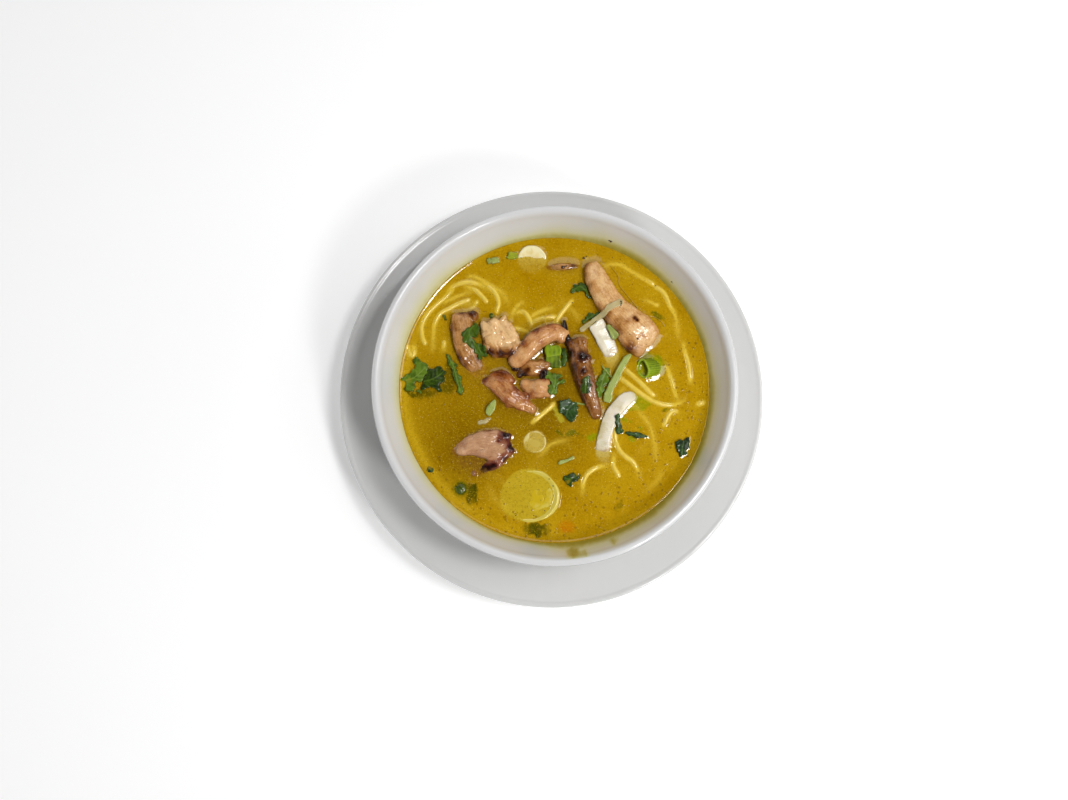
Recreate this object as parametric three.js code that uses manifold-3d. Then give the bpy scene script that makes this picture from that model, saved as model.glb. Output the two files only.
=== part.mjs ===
// A bowl of chicken noodle soup that stands on its underplate.
// Millimetres, +Z up. The origin is the middle of the underplate's foot, on the table.
// Seen from above with +Y pointing away, +X is the right-hand side.
// The bowl stands a little off the plate's middle, and the places of all that it holds
// are measured from the bowl's own axis.

import * as THREE from 'three';
import { mergeVertices } from 'three/addons/utils/BufferGeometryUtils.js';
import Module from 'manifold-3d';

const wasm = await Module();
wasm.setup();

// Underplate
const PLATE_RADIUS = 103;
const PLATE_HEIGHT = 22;
const PLATE_WELL_RADIUS = 50;
const PLATE_WELL_HEIGHT = 7;
const PLATE_THICKNESS = 4.2;
const PLATE_EDGE_THICKNESS = 3;
const PLATE_FOOT_RADIUS = 62;
const PLATE_FOOT_WIDTH = 4;
const PLATE_FOOT_HEIGHT = 2.5;

// Bowl
const BOWL_RADIUS = 82.5;
const BOWL_TOP = 59;
const BOWL_LIP_WIDTH = 3.4;
const BOWL_WALL = 4.4;
const BOWL_FOOT_RADIUS = 41;
const BOWL_FOOT_WIDTH = 4;
const BOWL_FOOT_HEIGHT = 4;
const BOWL_FLOOR_RADIUS = 24;
const BOWL_SHIFT = [0.9, -1.6];
const BOWL_FLOOR_HEIGHT = PLATE_WELL_HEIGHT + BOWL_FOOT_HEIGHT + BOWL_WALL;

// Soup
const SOUP_LEVEL = 43;
const GAP = 0.3;
const CORNER_GAP = 0.45;

// Noodles
const NOODLE_RADIUS = 1.15;
const NOODLE_SIDES = 5;
const NOODLE_ROOM_SIDES = 4;
const NOODLE_STEP = 5;
const NOODLE_CENTRE_HEIGHT = SOUP_LEVEL + 0.15;
const NOODLE_DIVE_RUN = 4;
const NOODLE_DIVE_REACH = 50;
const NOODLE_HEAP_RADIUS = 54;
const NOODLE_HEAP_TOP = 38;
const NOODLE_HEAP_SEGMENTS = 16;

// Thin toppings
const LEAF_THICKNESS = 0.8;
const CABBAGE_THICKNESS = 1.8;

const ROUND_SEGMENTS = 44;
const WALL_STEPS = 6;
const RAY_START_HEIGHT = 100;
const UP = new THREE.Vector3(0, 0, 1);
const DOWN = new THREE.Vector3(0, 0, -1);

// Colours and gloss

function finish(color, roughness) {
  return new THREE.MeshStandardMaterial({ color, roughness, metalness: 0 });
}

const PORCELAIN = finish(0xdcdbd6, 0.18);
const BROTH = finish(0xa97f06, 0.12);
const NOODLE = finish(0xd2b048, 0.3);
const CHICKEN = finish(0xc4955f, 0.42);
const BROWNED_CHICKEN = finish(0x8c5c34, 0.38);
const CABBAGE = finish(0xdcd2bc, 0.3);
const ONION = finish(0xcdb654, 0.25);
const DARK_LEAF = finish(0x3f5320, 0.45);
const LIGHT_LEAF = finish(0x7f9036, 0.4);
const SPRING_ONION = finish(0x6f8a14, 0.35);
const PEA = finish(0x51600e, 0.35);

// Closed meshes and booleans

function seededRandom(seed) {
  let state = seed;
  return () => {
    state = (state * 1664525 + 1013904223) % 4294967296;
    return state / 4294967296;
  };
}

function welded(geometry) {
  const bare = geometry.clone();
  bare.deleteAttribute('normal');
  bare.deleteAttribute('uv');
  const merged = mergeVertices(bare);
  const faces = [];
  const index = merged.index.array;
  for (let i = 0; i < index.length; i += 3) {
    const [a, b, c] = [index[i], index[i + 1], index[i + 2]];
    if (a !== b && b !== c && c !== a) faces.push(a, b, c);
  }
  merged.setIndex(faces);
  return merged;
}

function toSolid(geometry) {
  const mesh = welded(geometry);
  const vertProperties = new Float32Array(mesh.attributes.position.array);
  const triVerts = new Uint32Array(mesh.index.array);
  return new wasm.Manifold(new wasm.Mesh({ numProp: 3, vertProperties, triVerts }));
}

function toGeometry(solid) {
  const mesh = solid.getMesh();
  const geometry = new THREE.BufferGeometry();
  geometry.setAttribute('position', new THREE.BufferAttribute(mesh.vertProperties, 3));
  geometry.setIndex(new THREE.BufferAttribute(mesh.triVerts, 1));
  return geometry;
}

function largestPart(solid) {
  const parts = solid.decompose();
  return parts.reduce((largest, part) => (part.volume() > largest.volume() ? part : largest));
}

function fused(geometries) {
  const solids = geometries.map(toSolid);
  return toGeometry(solids.reduce((sum, solid) => sum.add(solid)));
}

// The same closed shape with every corner moved out along its normal.
function grown(geometry, distance = CORNER_GAP) {
  const bigger = welded(geometry);
  bigger.computeVertexNormals();
  const position = bigger.attributes.position;
  const normal = bigger.attributes.normal;
  for (let i = 0; i < position.count; i += 1) {
    position.setXYZ(
      i,
      position.getX(i) + normal.getX(i) * distance,
      position.getY(i) + normal.getY(i) * distance,
      position.getZ(i) + normal.getZ(i) * distance,
    );
  }
  return bigger;
}

function without(geometry, rooms) {
  const rest = rooms.reduce((left, room) => left.subtract(toSolid(room)), toSolid(geometry));
  return toGeometry(largestPart(rest));
}

function moveVertices(geometry, move) {
  const position = geometry.attributes.position;
  const vertex = new THREE.Vector3();
  for (let i = 0; i < position.count; i += 1) {
    vertex.fromBufferAttribute(position, i);
    move(vertex, i);
    position.setXYZ(i, vertex.x, vertex.y, vertex.z);
  }
  return geometry;
}

// Dish, broth and heap profiles

function revolve(profile, segments = ROUND_SEGMENTS) {
  const points = profile.map(([radius, height]) => new THREE.Vector2(radius, height));
  const geometry = new THREE.LatheGeometry(points, segments);
  geometry.rotateX(Math.PI / 2);
  return welded(geometry);
}

function curvePoints(start, startHandle, endHandle, end, steps) {
  const corners = [start, startHandle, endHandle, end].map(([x, y]) => new THREE.Vector2(x, y));
  const curve = new THREE.CubicBezierCurve(...corners);
  return curve.getPoints(steps).map((point) => [point.x, point.y]);
}

function plateGeometry() {
  const underside = PLATE_WELL_HEIGHT - PLATE_THICKNESS;
  const footInner = PLATE_FOOT_RADIUS - PLATE_FOOT_WIDTH;
  const edgeBottom = PLATE_HEIGHT - PLATE_EDGE_THICKNESS;
  return revolve([
    [0, underside],
    [footInner - 1, underside],
    [footInner, 0],
    [PLATE_FOOT_RADIUS, 0],
    [PLATE_FOOT_RADIUS + 1.5, PLATE_FOOT_HEIGHT],
    [PLATE_RADIUS - 18, edgeBottom - 6],
    [PLATE_RADIUS - 2, edgeBottom],
    [PLATE_RADIUS, edgeBottom + PLATE_EDGE_THICKNESS / 2],
    [PLATE_RADIUS - 1, PLATE_HEIGHT],
    [PLATE_RADIUS - 3, PLATE_HEIGHT - 0.4],
    [PLATE_RADIUS - 18, PLATE_HEIGHT - 5],
    [PLATE_WELL_RADIUS + 14, PLATE_WELL_HEIGHT + 3.5],
    [PLATE_WELL_RADIUS, PLATE_WELL_HEIGHT],
    [0, PLATE_WELL_HEIGHT],
  ]);
}

// Inner wall of the bowl, from the edge of its floor up to the lip.
const INNER_WALL = curvePoints(
  [BOWL_FLOOR_RADIUS, BOWL_FLOOR_HEIGHT],
  [BOWL_FLOOR_RADIUS + 27, BOWL_FLOOR_HEIGHT],
  [BOWL_RADIUS - BOWL_LIP_WIDTH - 13, BOWL_TOP - 31],
  [BOWL_RADIUS - BOWL_LIP_WIDTH, BOWL_TOP - 0.8],
  WALL_STEPS,
);

function innerRadiusAt(height) {
  const above = INNER_WALL.findIndex(([, wallHeight]) => wallHeight >= height);
  const [lowRadius, lowHeight] = INNER_WALL[above - 1];
  const [highRadius, highHeight] = INNER_WALL[above];
  const share = (height - lowHeight) / (highHeight - lowHeight);
  return lowRadius + (highRadius - lowRadius) * share;
}

function bowlGeometry() {
  const footBottom = PLATE_WELL_HEIGHT;
  const footTop = footBottom + BOWL_FOOT_HEIGHT;
  const footInner = BOWL_FOOT_RADIUS - BOWL_FOOT_WIDTH;
  const outerWall = curvePoints(
    [BOWL_FOOT_RADIUS, footTop - 1],
    [BOWL_FOOT_RADIUS + 20, footTop + 2],
    [BOWL_RADIUS - 9, BOWL_TOP - 31],
    [BOWL_RADIUS, BOWL_TOP - 2],
    WALL_STEPS,
  );
  return revolve([
    [0, footTop],
    [footInner - 1, footTop],
    [footInner, footBottom],
    [BOWL_FOOT_RADIUS - 0.5, footBottom],
    ...outerWall,
    [BOWL_RADIUS - 0.8, BOWL_TOP - 0.3],
    [BOWL_RADIUS - BOWL_LIP_WIDTH / 2, BOWL_TOP],
    ...[...INNER_WALL].reverse(),
    [0, BOWL_FLOOR_HEIGHT],
  ]);
}

function brothGeometry() {
  const wetWall = INNER_WALL.filter(([, height]) => height < SOUP_LEVEL - 1);
  return revolve([
    [0, BOWL_FLOOR_HEIGHT + GAP],
    ...wetWall.map(([radius, height]) => [radius - GAP, height + GAP]),
    [innerRadiusAt(SOUP_LEVEL) - 2 * GAP, SOUP_LEVEL],
    [0, SOUP_LEVEL],
  ]);
}

// Noodles: a heap on the bowl's floor, with the strands that reach the surface

const UPPER_LEFT_STRANDS = [
  [[-41.1, 52.8], [-33, 51], [-25.6, 46.1], [-21.1, 38.5]],
  [[-47.4, 48.4], [-40.1, 50.4], [-32.5, 47.7]],
  [[-33.3, 49.9], [-27.1, 43.9], [-26.7, 35.7]],
  [[-40.9, 47.6], [-36, 45.3], [-31.3, 40.3]],
  [[-49.9, 40.9], [-41.1, 44.4]],
  [[-39.3, 41.3], [-49, 37.2], [-55.3, 31.8], [-56.6, 22.9], [-56.8, 16.3]],
  [[-49.7, 45], [-58.7, 35.7], [-62.1, 28], [-59.9, 19.8]],
];

const TOP_STRANDS = [
  [[-19.8, 34.5], [-14.9, 40.3]],
  [[-16.3, 35.1], [-12.8, 34.1], [-10.4, 29.2]],
  [[-9.4, 34.9], [-2.3, 38]],
  [[-8.3, 31.3], [-0.2, 33.1]],
  [[1.4, 31.8], [9.1, 41.7]],
];

const RIGHT_STRANDS = [
  [[46.1, 49.9], [34.3, 57.1], [27.7, 58.7]],
  [[49.8, 46], [54.5, 39.3], [57.6, 28.1]],
  [[63.4, 4.4], [61, 17.7]],
  [[56.7, -4.8], [53.3, 7.4]],
  [[46.6, -4.2], [41.8, 0.1], [34.1, 7.4]],
  [[59.9, -6.6], [53.4, -8.8], [43.3, -5.6], [32.8, 2.6]],
  [[57.2, -12.3], [54, -12.1], [51.5, -16.2]],
];

const LOWER_STRANDS = [
  [[28, -22.7], [29.9, -29.9], [37.6, -37.9]],
  [[27.4, -33.4], [27, -37.9], [29.7, -42.1]],
  [[12.9, -47.7], [15.1, -40.7], [23.5, -37.3]],
  [[-8.8, -16.1], [-1.4, -9.7]],
];

// A strand lies in the surface and dives into the heap past its last point.
function strandPath(through) {
  const route = through.map(([x, y]) => new THREE.Vector3(x, y, NOODLE_CENTRE_HEIGHT));
  const deep = route.at(-1).clone().sub(route.at(-2)).setLength(NOODLE_DIVE_RUN).add(route.at(-1));
  const distance = Math.hypot(deep.x, deep.y);
  if (distance > NOODLE_DIVE_REACH) deep.multiplyScalar(NOODLE_DIVE_REACH / distance);
  deep.setZ(NOODLE_HEAP_TOP - 2 * NOODLE_RADIUS);
  return new THREE.CatmullRomCurve3([...route, deep], false, 'centripetal');
}

function tubeGeometry(path, radius, sides, steps) {
  const section = new THREE.Shape();
  for (let side = 0; side < sides; side += 1) {
    const angle = (side / sides) * 2 * Math.PI;
    const corner = [radius * Math.cos(angle), radius * Math.sin(angle)];
    if (side === 0) section.moveTo(...corner);
    else section.lineTo(...corner);
  }
  section.closePath();
  return new THREE.ExtrudeGeometry(section, { steps, bevelEnabled: false, extrudePath: path });
}

function strandGeometry(through) {
  const path = strandPath(through);
  const steps = Math.ceil(path.getLength() / NOODLE_STEP);
  return tubeGeometry(path, NOODLE_RADIUS, NOODLE_SIDES, steps);
}

// The room that a strand needs in the broth: a wider tube with fewer sides.
function strandRoomGeometry(through) {
  const path = strandPath(through);
  const steps = Math.ceil(path.getLength() / NOODLE_STEP);
  const radius = (NOODLE_RADIUS + GAP) / Math.cos(Math.PI / NOODLE_ROOM_SIDES);
  return grown(tubeGeometry(path, radius - CORNER_GAP, NOODLE_ROOM_SIDES, steps));
}

function heapGeometry() {
  const floor = BOWL_FLOOR_HEIGHT + 2 * GAP;
  const unevenness = 1.2;
  const random = seededRandom(7);
  const heap = revolve([
    [0, floor],
    [BOWL_FLOOR_RADIUS, floor],
    [NOODLE_HEAP_RADIUS - 8, floor + 9],
    [NOODLE_HEAP_RADIUS, NOODLE_HEAP_TOP - 5],
    [NOODLE_HEAP_RADIUS - 5, NOODLE_HEAP_TOP - 1],
    [NOODLE_HEAP_RADIUS / 2, NOODLE_HEAP_TOP],
    [0, NOODLE_HEAP_TOP],
  ], NOODLE_HEAP_SEGMENTS);
  return moveVertices(heap, (vertex) => {
    if (vertex.z > floor + 10) vertex.z -= unevenness * random();
  });
}

// Chicken: uneven strips, rounded at both ends

function valueAlong(values, share) {
  const place = share * (values.length - 1);
  const before = Math.min(Math.floor(place), values.length - 2);
  return THREE.MathUtils.lerp(values[before], values[before + 1], place - before);
}

function chickenGeometry({ path, halfWidths, halfHeights, seed, sides = 8, rings = 9 }) {
  const bluntness = 0.62;
  const boxiness = 0.85;
  const unevenness = 0.16;
  const random = seededRandom(seed);
  const curve = new THREE.CatmullRomCurve3(path.map(([x, y, z]) => new THREE.Vector3(x, y, z)));
  const across = new THREE.Vector3();
  const upward = new THREE.Vector3();
  const rounded = (value) => Math.sign(value) * Math.abs(value) ** boxiness;
  return moveVertices(welded(new THREE.SphereGeometry(1, sides, rings)), (vertex) => {
    const share = (1 - vertex.y) / 2;
    const ringRadius = Math.hypot(vertex.x, vertex.z);
    const cosine = ringRadius > 0 ? vertex.x / ringRadius : 0;
    const sine = ringRadius > 0 ? vertex.z / ringRadius : 0;
    const spread = ringRadius ** bluntness * (1 + unevenness * (random() - 0.5));
    const tangent = curve.getTangent(share);
    across.crossVectors(UP, tangent).normalize();
    upward.crossVectors(tangent, across);
    vertex.copy(curve.getPoint(share));
    vertex.addScaledVector(across, rounded(cosine) * spread * valueAlong(halfWidths, share));
    vertex.addScaledVector(upward, rounded(sine) * spread * valueAlong(halfHeights, share));
  });
}

const CHICKEN_PIECES = {
  chicken_left: {
    path: [[-43.7, 34.9, 43], [-42.7, 24.4, 44], [-40.6, 16, 43.6], [-36.8, 9.7, 42], [-33.4, 4.9, 40.8]],
    halfWidths: [5.4, 5.4, 5.2, 4.6, 3.8],
    halfHeights: [3.2, 3.8, 3.6, 2.8, 1.8],
    seed: 11,
  },
  chicken_pale_chunk: {
    path: [[-31.7, 31.2, 43.8], [-25.6, 24.9, 44.6], [-18.6, 17.8, 44]],
    halfWidths: [6.4, 7.2, 6],
    halfHeights: [3.6, 4.8, 4.2],
    seed: 12,
  },
  chicken_bent_finger: {
    path: [[-17.9, 10.8, 44.6], [-13.6, 15.5, 46], [-8.2, 21.2, 46.6], [-1.2, 24.8, 46], [3.7, 25.7, 44.6]],
    halfWidths: [4, 4.6, 5, 5, 4.6],
    halfHeights: [3.4, 3.8, 4, 4, 3.4],
    seed: 13,
  },
  chicken_lump: {
    path: [[-16.8, 6.6, 42.6], [-9.6, 8.4, 43.6], [-3.4, 7.1, 43]],
    halfWidths: [2.6, 3.8, 3.2],
    halfHeights: [2, 3.2, 2.6],
    seed: 14,
    rings: 7,
  },
  chicken_middle: {
    path: [[-33.5, 3, 42.4], [-26, 0.8, 43.4], [-20.9, -3.9, 43.8], [-15.8, -7.5, 43.2], [-8.6, -12, 42.4]],
    halfWidths: [2.8, 4.6, 4.8, 3.8, 2.6],
    halfHeights: [2, 3, 3.4, 2.8, 1.8],
    seed: 15,
  },
  chicken_knob: {
    path: [[-15.6, 1.3, 42.8], [-11, -0.6, 43.4], [-2.4, -1.6, 43.6]],
    halfWidths: [2.6, 4.4, 5],
    halfHeights: [2, 3.4, 3.8],
    seed: 16,
    rings: 7,
  },
  chicken_dark_strip: {
    path: [[11.7, 22.6, 44], [11.9, 12.9, 45], [13.8, 4.9, 44.8], [16, -2.9, 44.2], [20.1, -15.4, 43]],
    halfWidths: [4.8, 4.9, 4.8, 4.1, 3.4],
    halfHeights: [3.2, 4, 4, 3.6, 2.8],
    seed: 17,
  },
  chicken_long_strip: {
    path: [
      [17.3, 61.1, 43.4], [19.7, 52.6, 44.8], [22.3, 46.6, 45], [26.5, 39.8, 44.8],
      [32.6, 31.2, 44.6], [39.5, 24.5, 44.8], [49.1, 18.4, 44],
    ],
    halfWidths: [4.9, 5.1, 5.6, 5.7, 6.9, 8.2, 7.6],
    halfHeights: [3.4, 4, 4.2, 4.2, 4.4, 4.6, 3.8],
    seed: 18,
    sides: 10,
    rings: 12,
  },
  chicken_hook: {
    path: [[-48.4, -35.5, 41.6], [-41, -30.6, 42.4], [-34.1, -27.4, 42.8], [-20.4, -29.2, 43.2]],
    halfWidths: [2.4, 4, 4.9, 4.4],
    halfHeights: [1.6, 2.4, 3, 3],
    seed: 19,
  },
  chicken_sliver: {
    path: [[-3.9, 57.5, 42.2], [4.7, 57.8, 42.7], [12.2, 58.3, 42.4]],
    halfWidths: [1.2, 1.8, 1.4],
    halfHeights: [0.9, 1.4, 1],
    seed: 20,
    sides: 6,
    rings: 6,
  },
};

// Short branches that belong to two of the strips.
const HOOK_TIP = {
  path: [[-21.8, -32.6, 42.6], [-27.2, -35.7, 42.6], [-31.8, -38.9, 42.6], [-35.9, -43.9, 42]],
  halfWidths: [3.2, 2.8, 2.6, 1.4],
  halfHeights: [2.2, 2, 1.8, 1.2],
  seed: 21,
  sides: 6,
  rings: 6,
};
const DARK_STRIP_TIP = {
  path: [[4.7, 31.5, 44.2], [5.3, 24.2, 45], [8.8, 17.2, 44.8]],
  halfWidths: [1.4, 1.9, 2],
  halfHeights: [1.6, 2.2, 2.4],
  seed: 22,
  sides: 6,
  rings: 6,
};

// Thin toppings: a surface with a thickness, both faces split alike

function thickened(surface, thickness) {
  const sheet = welded(surface);
  sheet.computeVertexNormals();
  const count = sheet.attributes.position.count;
  const faces = sheet.index.array;
  const point = new THREE.Vector3();
  const normal = new THREE.Vector3();
  const corners = [];
  for (const side of [0.5, -0.5]) {
    for (let i = 0; i < count; i += 1) {
      point.fromBufferAttribute(sheet.attributes.position, i);
      normal.fromBufferAttribute(sheet.attributes.normal, i);
      corners.push(...point.addScaledVector(normal, side * thickness).toArray());
    }
  }
  const edges = new Set();
  const closedFaces = [];
  for (let i = 0; i < faces.length; i += 3) {
    const [a, b, c] = [faces[i], faces[i + 1], faces[i + 2]];
    closedFaces.push(a, b, c, c + count, b + count, a + count);
    [[a, b], [b, c], [c, a]].forEach(([from, to]) => edges.add(`${from},${to}`));
  }
  edges.forEach((edge) => {
    const [a, b] = edge.split(',').map(Number);
    if (edges.has(`${b},${a}`)) return;
    closedFaces.push(b, a, a + count, b, a + count, b + count);
  });
  const geometry = new THREE.BufferGeometry();
  geometry.setAttribute('position', new THREE.Float32BufferAttribute(corners, 3));
  geometry.setIndex(closedFaces);
  return geometry;
}

function topAt(x, y, carriers) {
  const ray = new THREE.Raycaster(new THREE.Vector3(x, y, RAY_START_HEIGHT), DOWN);
  const hit = ray.intersectObjects(carriers)[0];
  return hit ? Math.max(hit.point.z, SOUP_LEVEL) : SOUP_LEVEL;
}

// A leaf lies on the broth, or over the pieces that carry it, with a seeded wave.
function leafGeometry({ outline, wave = 0.8, seed }, carriers) {
  const random = seededRandom(seed);
  const shape = new THREE.Shape(outline.map(([x, y]) => new THREE.Vector2(x, y)));
  const surface = welded(new THREE.ShapeGeometry(shape));
  const lift = CORNER_GAP + LEAF_THICKNESS / 2;
  moveVertices(surface, (vertex) => {
    vertex.z = topAt(vertex.x, vertex.y, carriers) + lift + wave * random();
  });
  return thickened(surface, LEAF_THICKNESS);
}

// A strip runs along a path; cup bends its two edges up.
function stripGeometry({ path, halfWidths, thickness, cup = 0, steps = 6 }) {
  const curve = new THREE.CatmullRomCurve3(path.map(([x, y, z]) => new THREE.Vector3(x, y, z)));
  const acrossSteps = 2;
  const surface = welded(new THREE.PlaneGeometry(1, 1, steps, acrossSteps));
  const across = new THREE.Vector3();
  moveVertices(surface, (vertex) => {
    const share = vertex.x + 0.5;
    const side = vertex.y * 2;
    across.crossVectors(UP, curve.getTangent(share)).normalize();
    vertex.copy(curve.getPoint(share));
    vertex.addScaledVector(across, side * valueAlong(halfWidths, share));
    vertex.z += cup * side * side;
  });
  return thickened(surface, thickness);
}

// A round slice with a low rim; tilt turns it about X, lean about Y, in degrees.
function sliceGeometry({ centre, radii, thickness, tilt = 0, lean = 0, segments = 18 }) {
  const half = thickness / 2;
  const rim = 0.9;
  const slice = revolve([[0, -half], [rim, -half], [1, 0], [rim, half], [0, half - 0.3]], segments);
  slice.scale(radii[0], radii[1], 1);
  slice.rotateX(THREE.MathUtils.degToRad(tilt));
  slice.rotateY(THREE.MathUtils.degToRad(lean));
  slice.translate(...centre);
  return slice;
}

const LEAVES = {
  coriander_left_light: {
    outline: [
      [-68.8, 3.5], [-63.9, 10], [-64.9, 13.3], [-61.6, 12.8], [-58.8, 9.5],
      [-58.4, 4.4], [-59.4, -1.4], [-65.3, -0.5], [-67.7, 1.6],
    ],
    seed: 31,
  },
  coriander_left_dark: {
    outline: [
      [-57.9, 7.9], [-54.8, 6.4], [-52.5, 8.6], [-51.1, 6.9], [-52.4, 4.5],
      [-51.7, 2.1], [-53.3, -1.9], [-55.9, -0.5], [-58.3, -1], [-57.6, 3.4],
    ],
    seed: 32,
  },
  coriander_folded: {
    outline: [
      [-36.8, 30.9], [-34.7, 27.7], [-34.7, 25.6], [-38, 23], [-34, 20.6], [-32, 17.2],
      [-31, 15], [-34.3, 12.5], [-37.5, 16.2], [-41, 19.9], [-42.9, 23.3], [-41.7, 25.3],
    ],
    wave: 1,
    seed: 33,
    carriers: ['chicken_left', 'chicken_pale_chunk'],
  },
  coriander_centre: {
    outline: [
      [-3.6, 5.3], [-1.2, 3.3], [0.3, 5.5], [2.9, 5.1], [2.7, 2.1], [4.5, 0.3], [2.3, -1.5],
      [2.5, -4.2], [-0.3, -5.4], [-0.9, -2.4], [-1.3, 0.9],
    ],
    seed: 34,
    carriers: ['chicken_lump', 'chicken_knob'],
  },
  coriander_curled: {
    outline: [
      [2.2, -7], [6.8, -6.5], [10.8, -9.3], [10.3, -13], [7.5, -15.9], [4.7, -14.4], [3, -10.8],
    ],
    wave: 1.6,
    seed: 35,
  },
  coriander_on_dark_strip: {
    outline: [[13.6, 4.3], [15.9, 3.6], [16.7, 1], [16, -3], [14.4, -4.1], [12.2, -3.6], [12.5, 0.5]],
    wave: 0.4,
    seed: 36,
    carriers: ['chicken_dark_strip'],
  },
  coriander_beside_strip: {
    outline: [[21.1, 2.7], [22.9, 5.7], [25.4, 6.7], [25.9, 5.1], [23.6, 1.1], [21.8, -1.3]],
    seed: 37,
    carriers: ['chicken_dark_strip'],
  },
  coriander_under_film: {
    outline: [[13, 30.6], [14.9, 33.5], [18.1, 35.3], [19.9, 34.5], [17.9, 32.1], [15.4, 30]],
    wave: 0.5,
    seed: 38,
    carriers: ['chicken_long_strip'],
  },
  coriander_curl_top: {
    outline: [
      [8.2, 46.2], [10.3, 48.2], [11.9, 48.9], [14.7, 47.3], [15.9, 44.3], [15.1, 42.5],
      [13.5, 45.1], [11.3, 45.9], [8.9, 44.5],
    ],
    seed: 39,
    carriers: ['chicken_long_strip'],
  },
  coriander_right: {
    outline: [
      [54.8, -26.7], [56.7, -24.7], [60.8, -24.1], [61.7, -26.9], [60.7, -30.4],
      [59, -32.7], [56.5, -31.5], [55.6, -29],
    ],
    seed: 40,
  },
  coriander_lower_blade: {
    outline: [[32.5, -21], [37, -21], [43, -23.6], [38.6, -24.5], [34.5, -23.5]],
    seed: 41,
  },
  coriander_lower: {
    outline: [[4.7, -40.3], [8.5, -39.3], [11.8, -40.1], [11.2, -43.8], [7.4, -46.5], [5.5, -43.6]],
    wave: 1.2,
    seed: 42,
  },
};

const STRIPS = {
  coriander_feather: {
    path: [[-49.8, 15.5, 44.2], [-46.5, 10, 44.6], [-45, 3.4, 44.4], [-43.3, -3.1, 44]],
    halfWidths: [0.5, 1.6, 2, 0.6],
    thickness: LEAF_THICKNESS,
  },
  coriander_upright_blade: {
    path: [[29.8, -10.8, 46.3], [28.8, -15.6, 45.2], [29.2, -21.1, 44.2]],
    halfWidths: [0.5, 1.1, 1.4],
    thickness: LEAF_THICKNESS,
    steps: 4,
  },
  cabbage_upper: {
    path: [[20.2, 30.2, 45], [23.2, 24.1, 44], [26, 17.9, 42.6], [27.9, 11.6, 40.6]],
    halfWidths: [3.4, 4.8, 4.6, 3.8],
    thickness: CABBAGE_THICKNESS,
    cup: -0.3,
  },
  cabbage_lower: {
    path: [
      [37.5, -4.7, 42.8], [31.8, -7.2, 43.6], [26.9, -13.1, 44], [24.2, -20.3, 43.8],
      [22.6, -27.5, 42.8], [23, -32.7, 40.8],
    ],
    halfWidths: [2, 2.9, 3.1, 3.2, 3.1, 2.4],
    thickness: CABBAGE_THICKNESS,
    cup: -0.5,
    steps: 8,
  },
  green_strip: {
    path: [[34.3, 14.3, 45.2], [29.9, 5.1, 45], [26.4, -1.7, 45], [24.8, -7.2, 44.4]],
    halfWidths: [1, 2.2, 2.4, 1.9],
    thickness: 1.2,
    cup: 0.3,
  },
  green_beside_cabbage: {
    path: [[24.7, 28.1, 46.3], [26.9, 25.4, 46.1], [28.9, 21.9, 45.4]],
    halfWidths: [1, 1.3, 1.1],
    thickness: 1,
    steps: 3,
  },
  green_sliver_left: {
    path: [[-27.2, -6.8, 44.6], [-28.6, -10, 44.6], [-30.8, -13.5, 44.2]],
    halfWidths: [0.9, 1.7, 1],
    thickness: 1,
    steps: 4,
  },
  green_sliver_lower: {
    path: [[1.4, -35.8, 44.1], [5.2, -34.5, 44.3], [8.7, -32.9, 44.1]],
    halfWidths: [0.8, 1.2, 0.7],
    thickness: 0.9,
    steps: 4,
  },
  green_chip_top_left: {
    path: [[-31, 59.1, 44.1], [-27.9, 60.7, 44.5]],
    halfWidths: [1.4, 1.6],
    thickness: 1.1,
    steps: 2,
  },
  green_chip_top: {
    path: [[-23.2, 62.5, 44.1], [-17.5, 63.8, 44.4]],
    halfWidths: [1.3, 1.6],
    thickness: 1.1,
    steps: 3,
  },
};

const SLICES = {
  onion_slice_top: { centre: [-10.3, 61.5, 42.3], radii: [6.8, 6.4], thickness: 3, tilt: 12 },
  leek_slice: { centre: [-11.3, -50.7, 41.6], radii: [13.7, 12.2], thickness: 3.8, lean: -2, segments: 24 },
  leek_slice_small: { centre: [-8.9, -25.9, 42.1], radii: [5.3, 5.2], thickness: 2.6 },
};

// A clear film of onion skin that lies over the upper cabbage and the long strip.
function filmGeometry(carriers) {
  const start = new THREE.Vector2(12.3, 26.4);
  const end = new THREE.Vector2(31.1, 39.6);
  const halfWidth = 2.4;
  const lift = 1.5 * LEAF_THICKNESS;
  const nearby = [-2.5, 0, 2.5];
  const along = end.clone().sub(start);
  const across = new THREE.Vector2(-along.y, along.x).setLength(halfWidth);
  const surface = welded(new THREE.PlaneGeometry(1, 2, 6, 1));
  moveVertices(surface, (vertex) => {
    const place = start.clone().addScaledVector(along, vertex.x + 0.5).addScaledVector(across, vertex.y);
    const heights = nearby.flatMap((dx) => nearby.map((dy) => topAt(place.x + dx, place.y + dy, carriers)));
    vertex.set(place.x, place.y, Math.max(...heights) + lift);
  });
  return thickened(surface, LEAF_THICKNESS);
}

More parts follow.
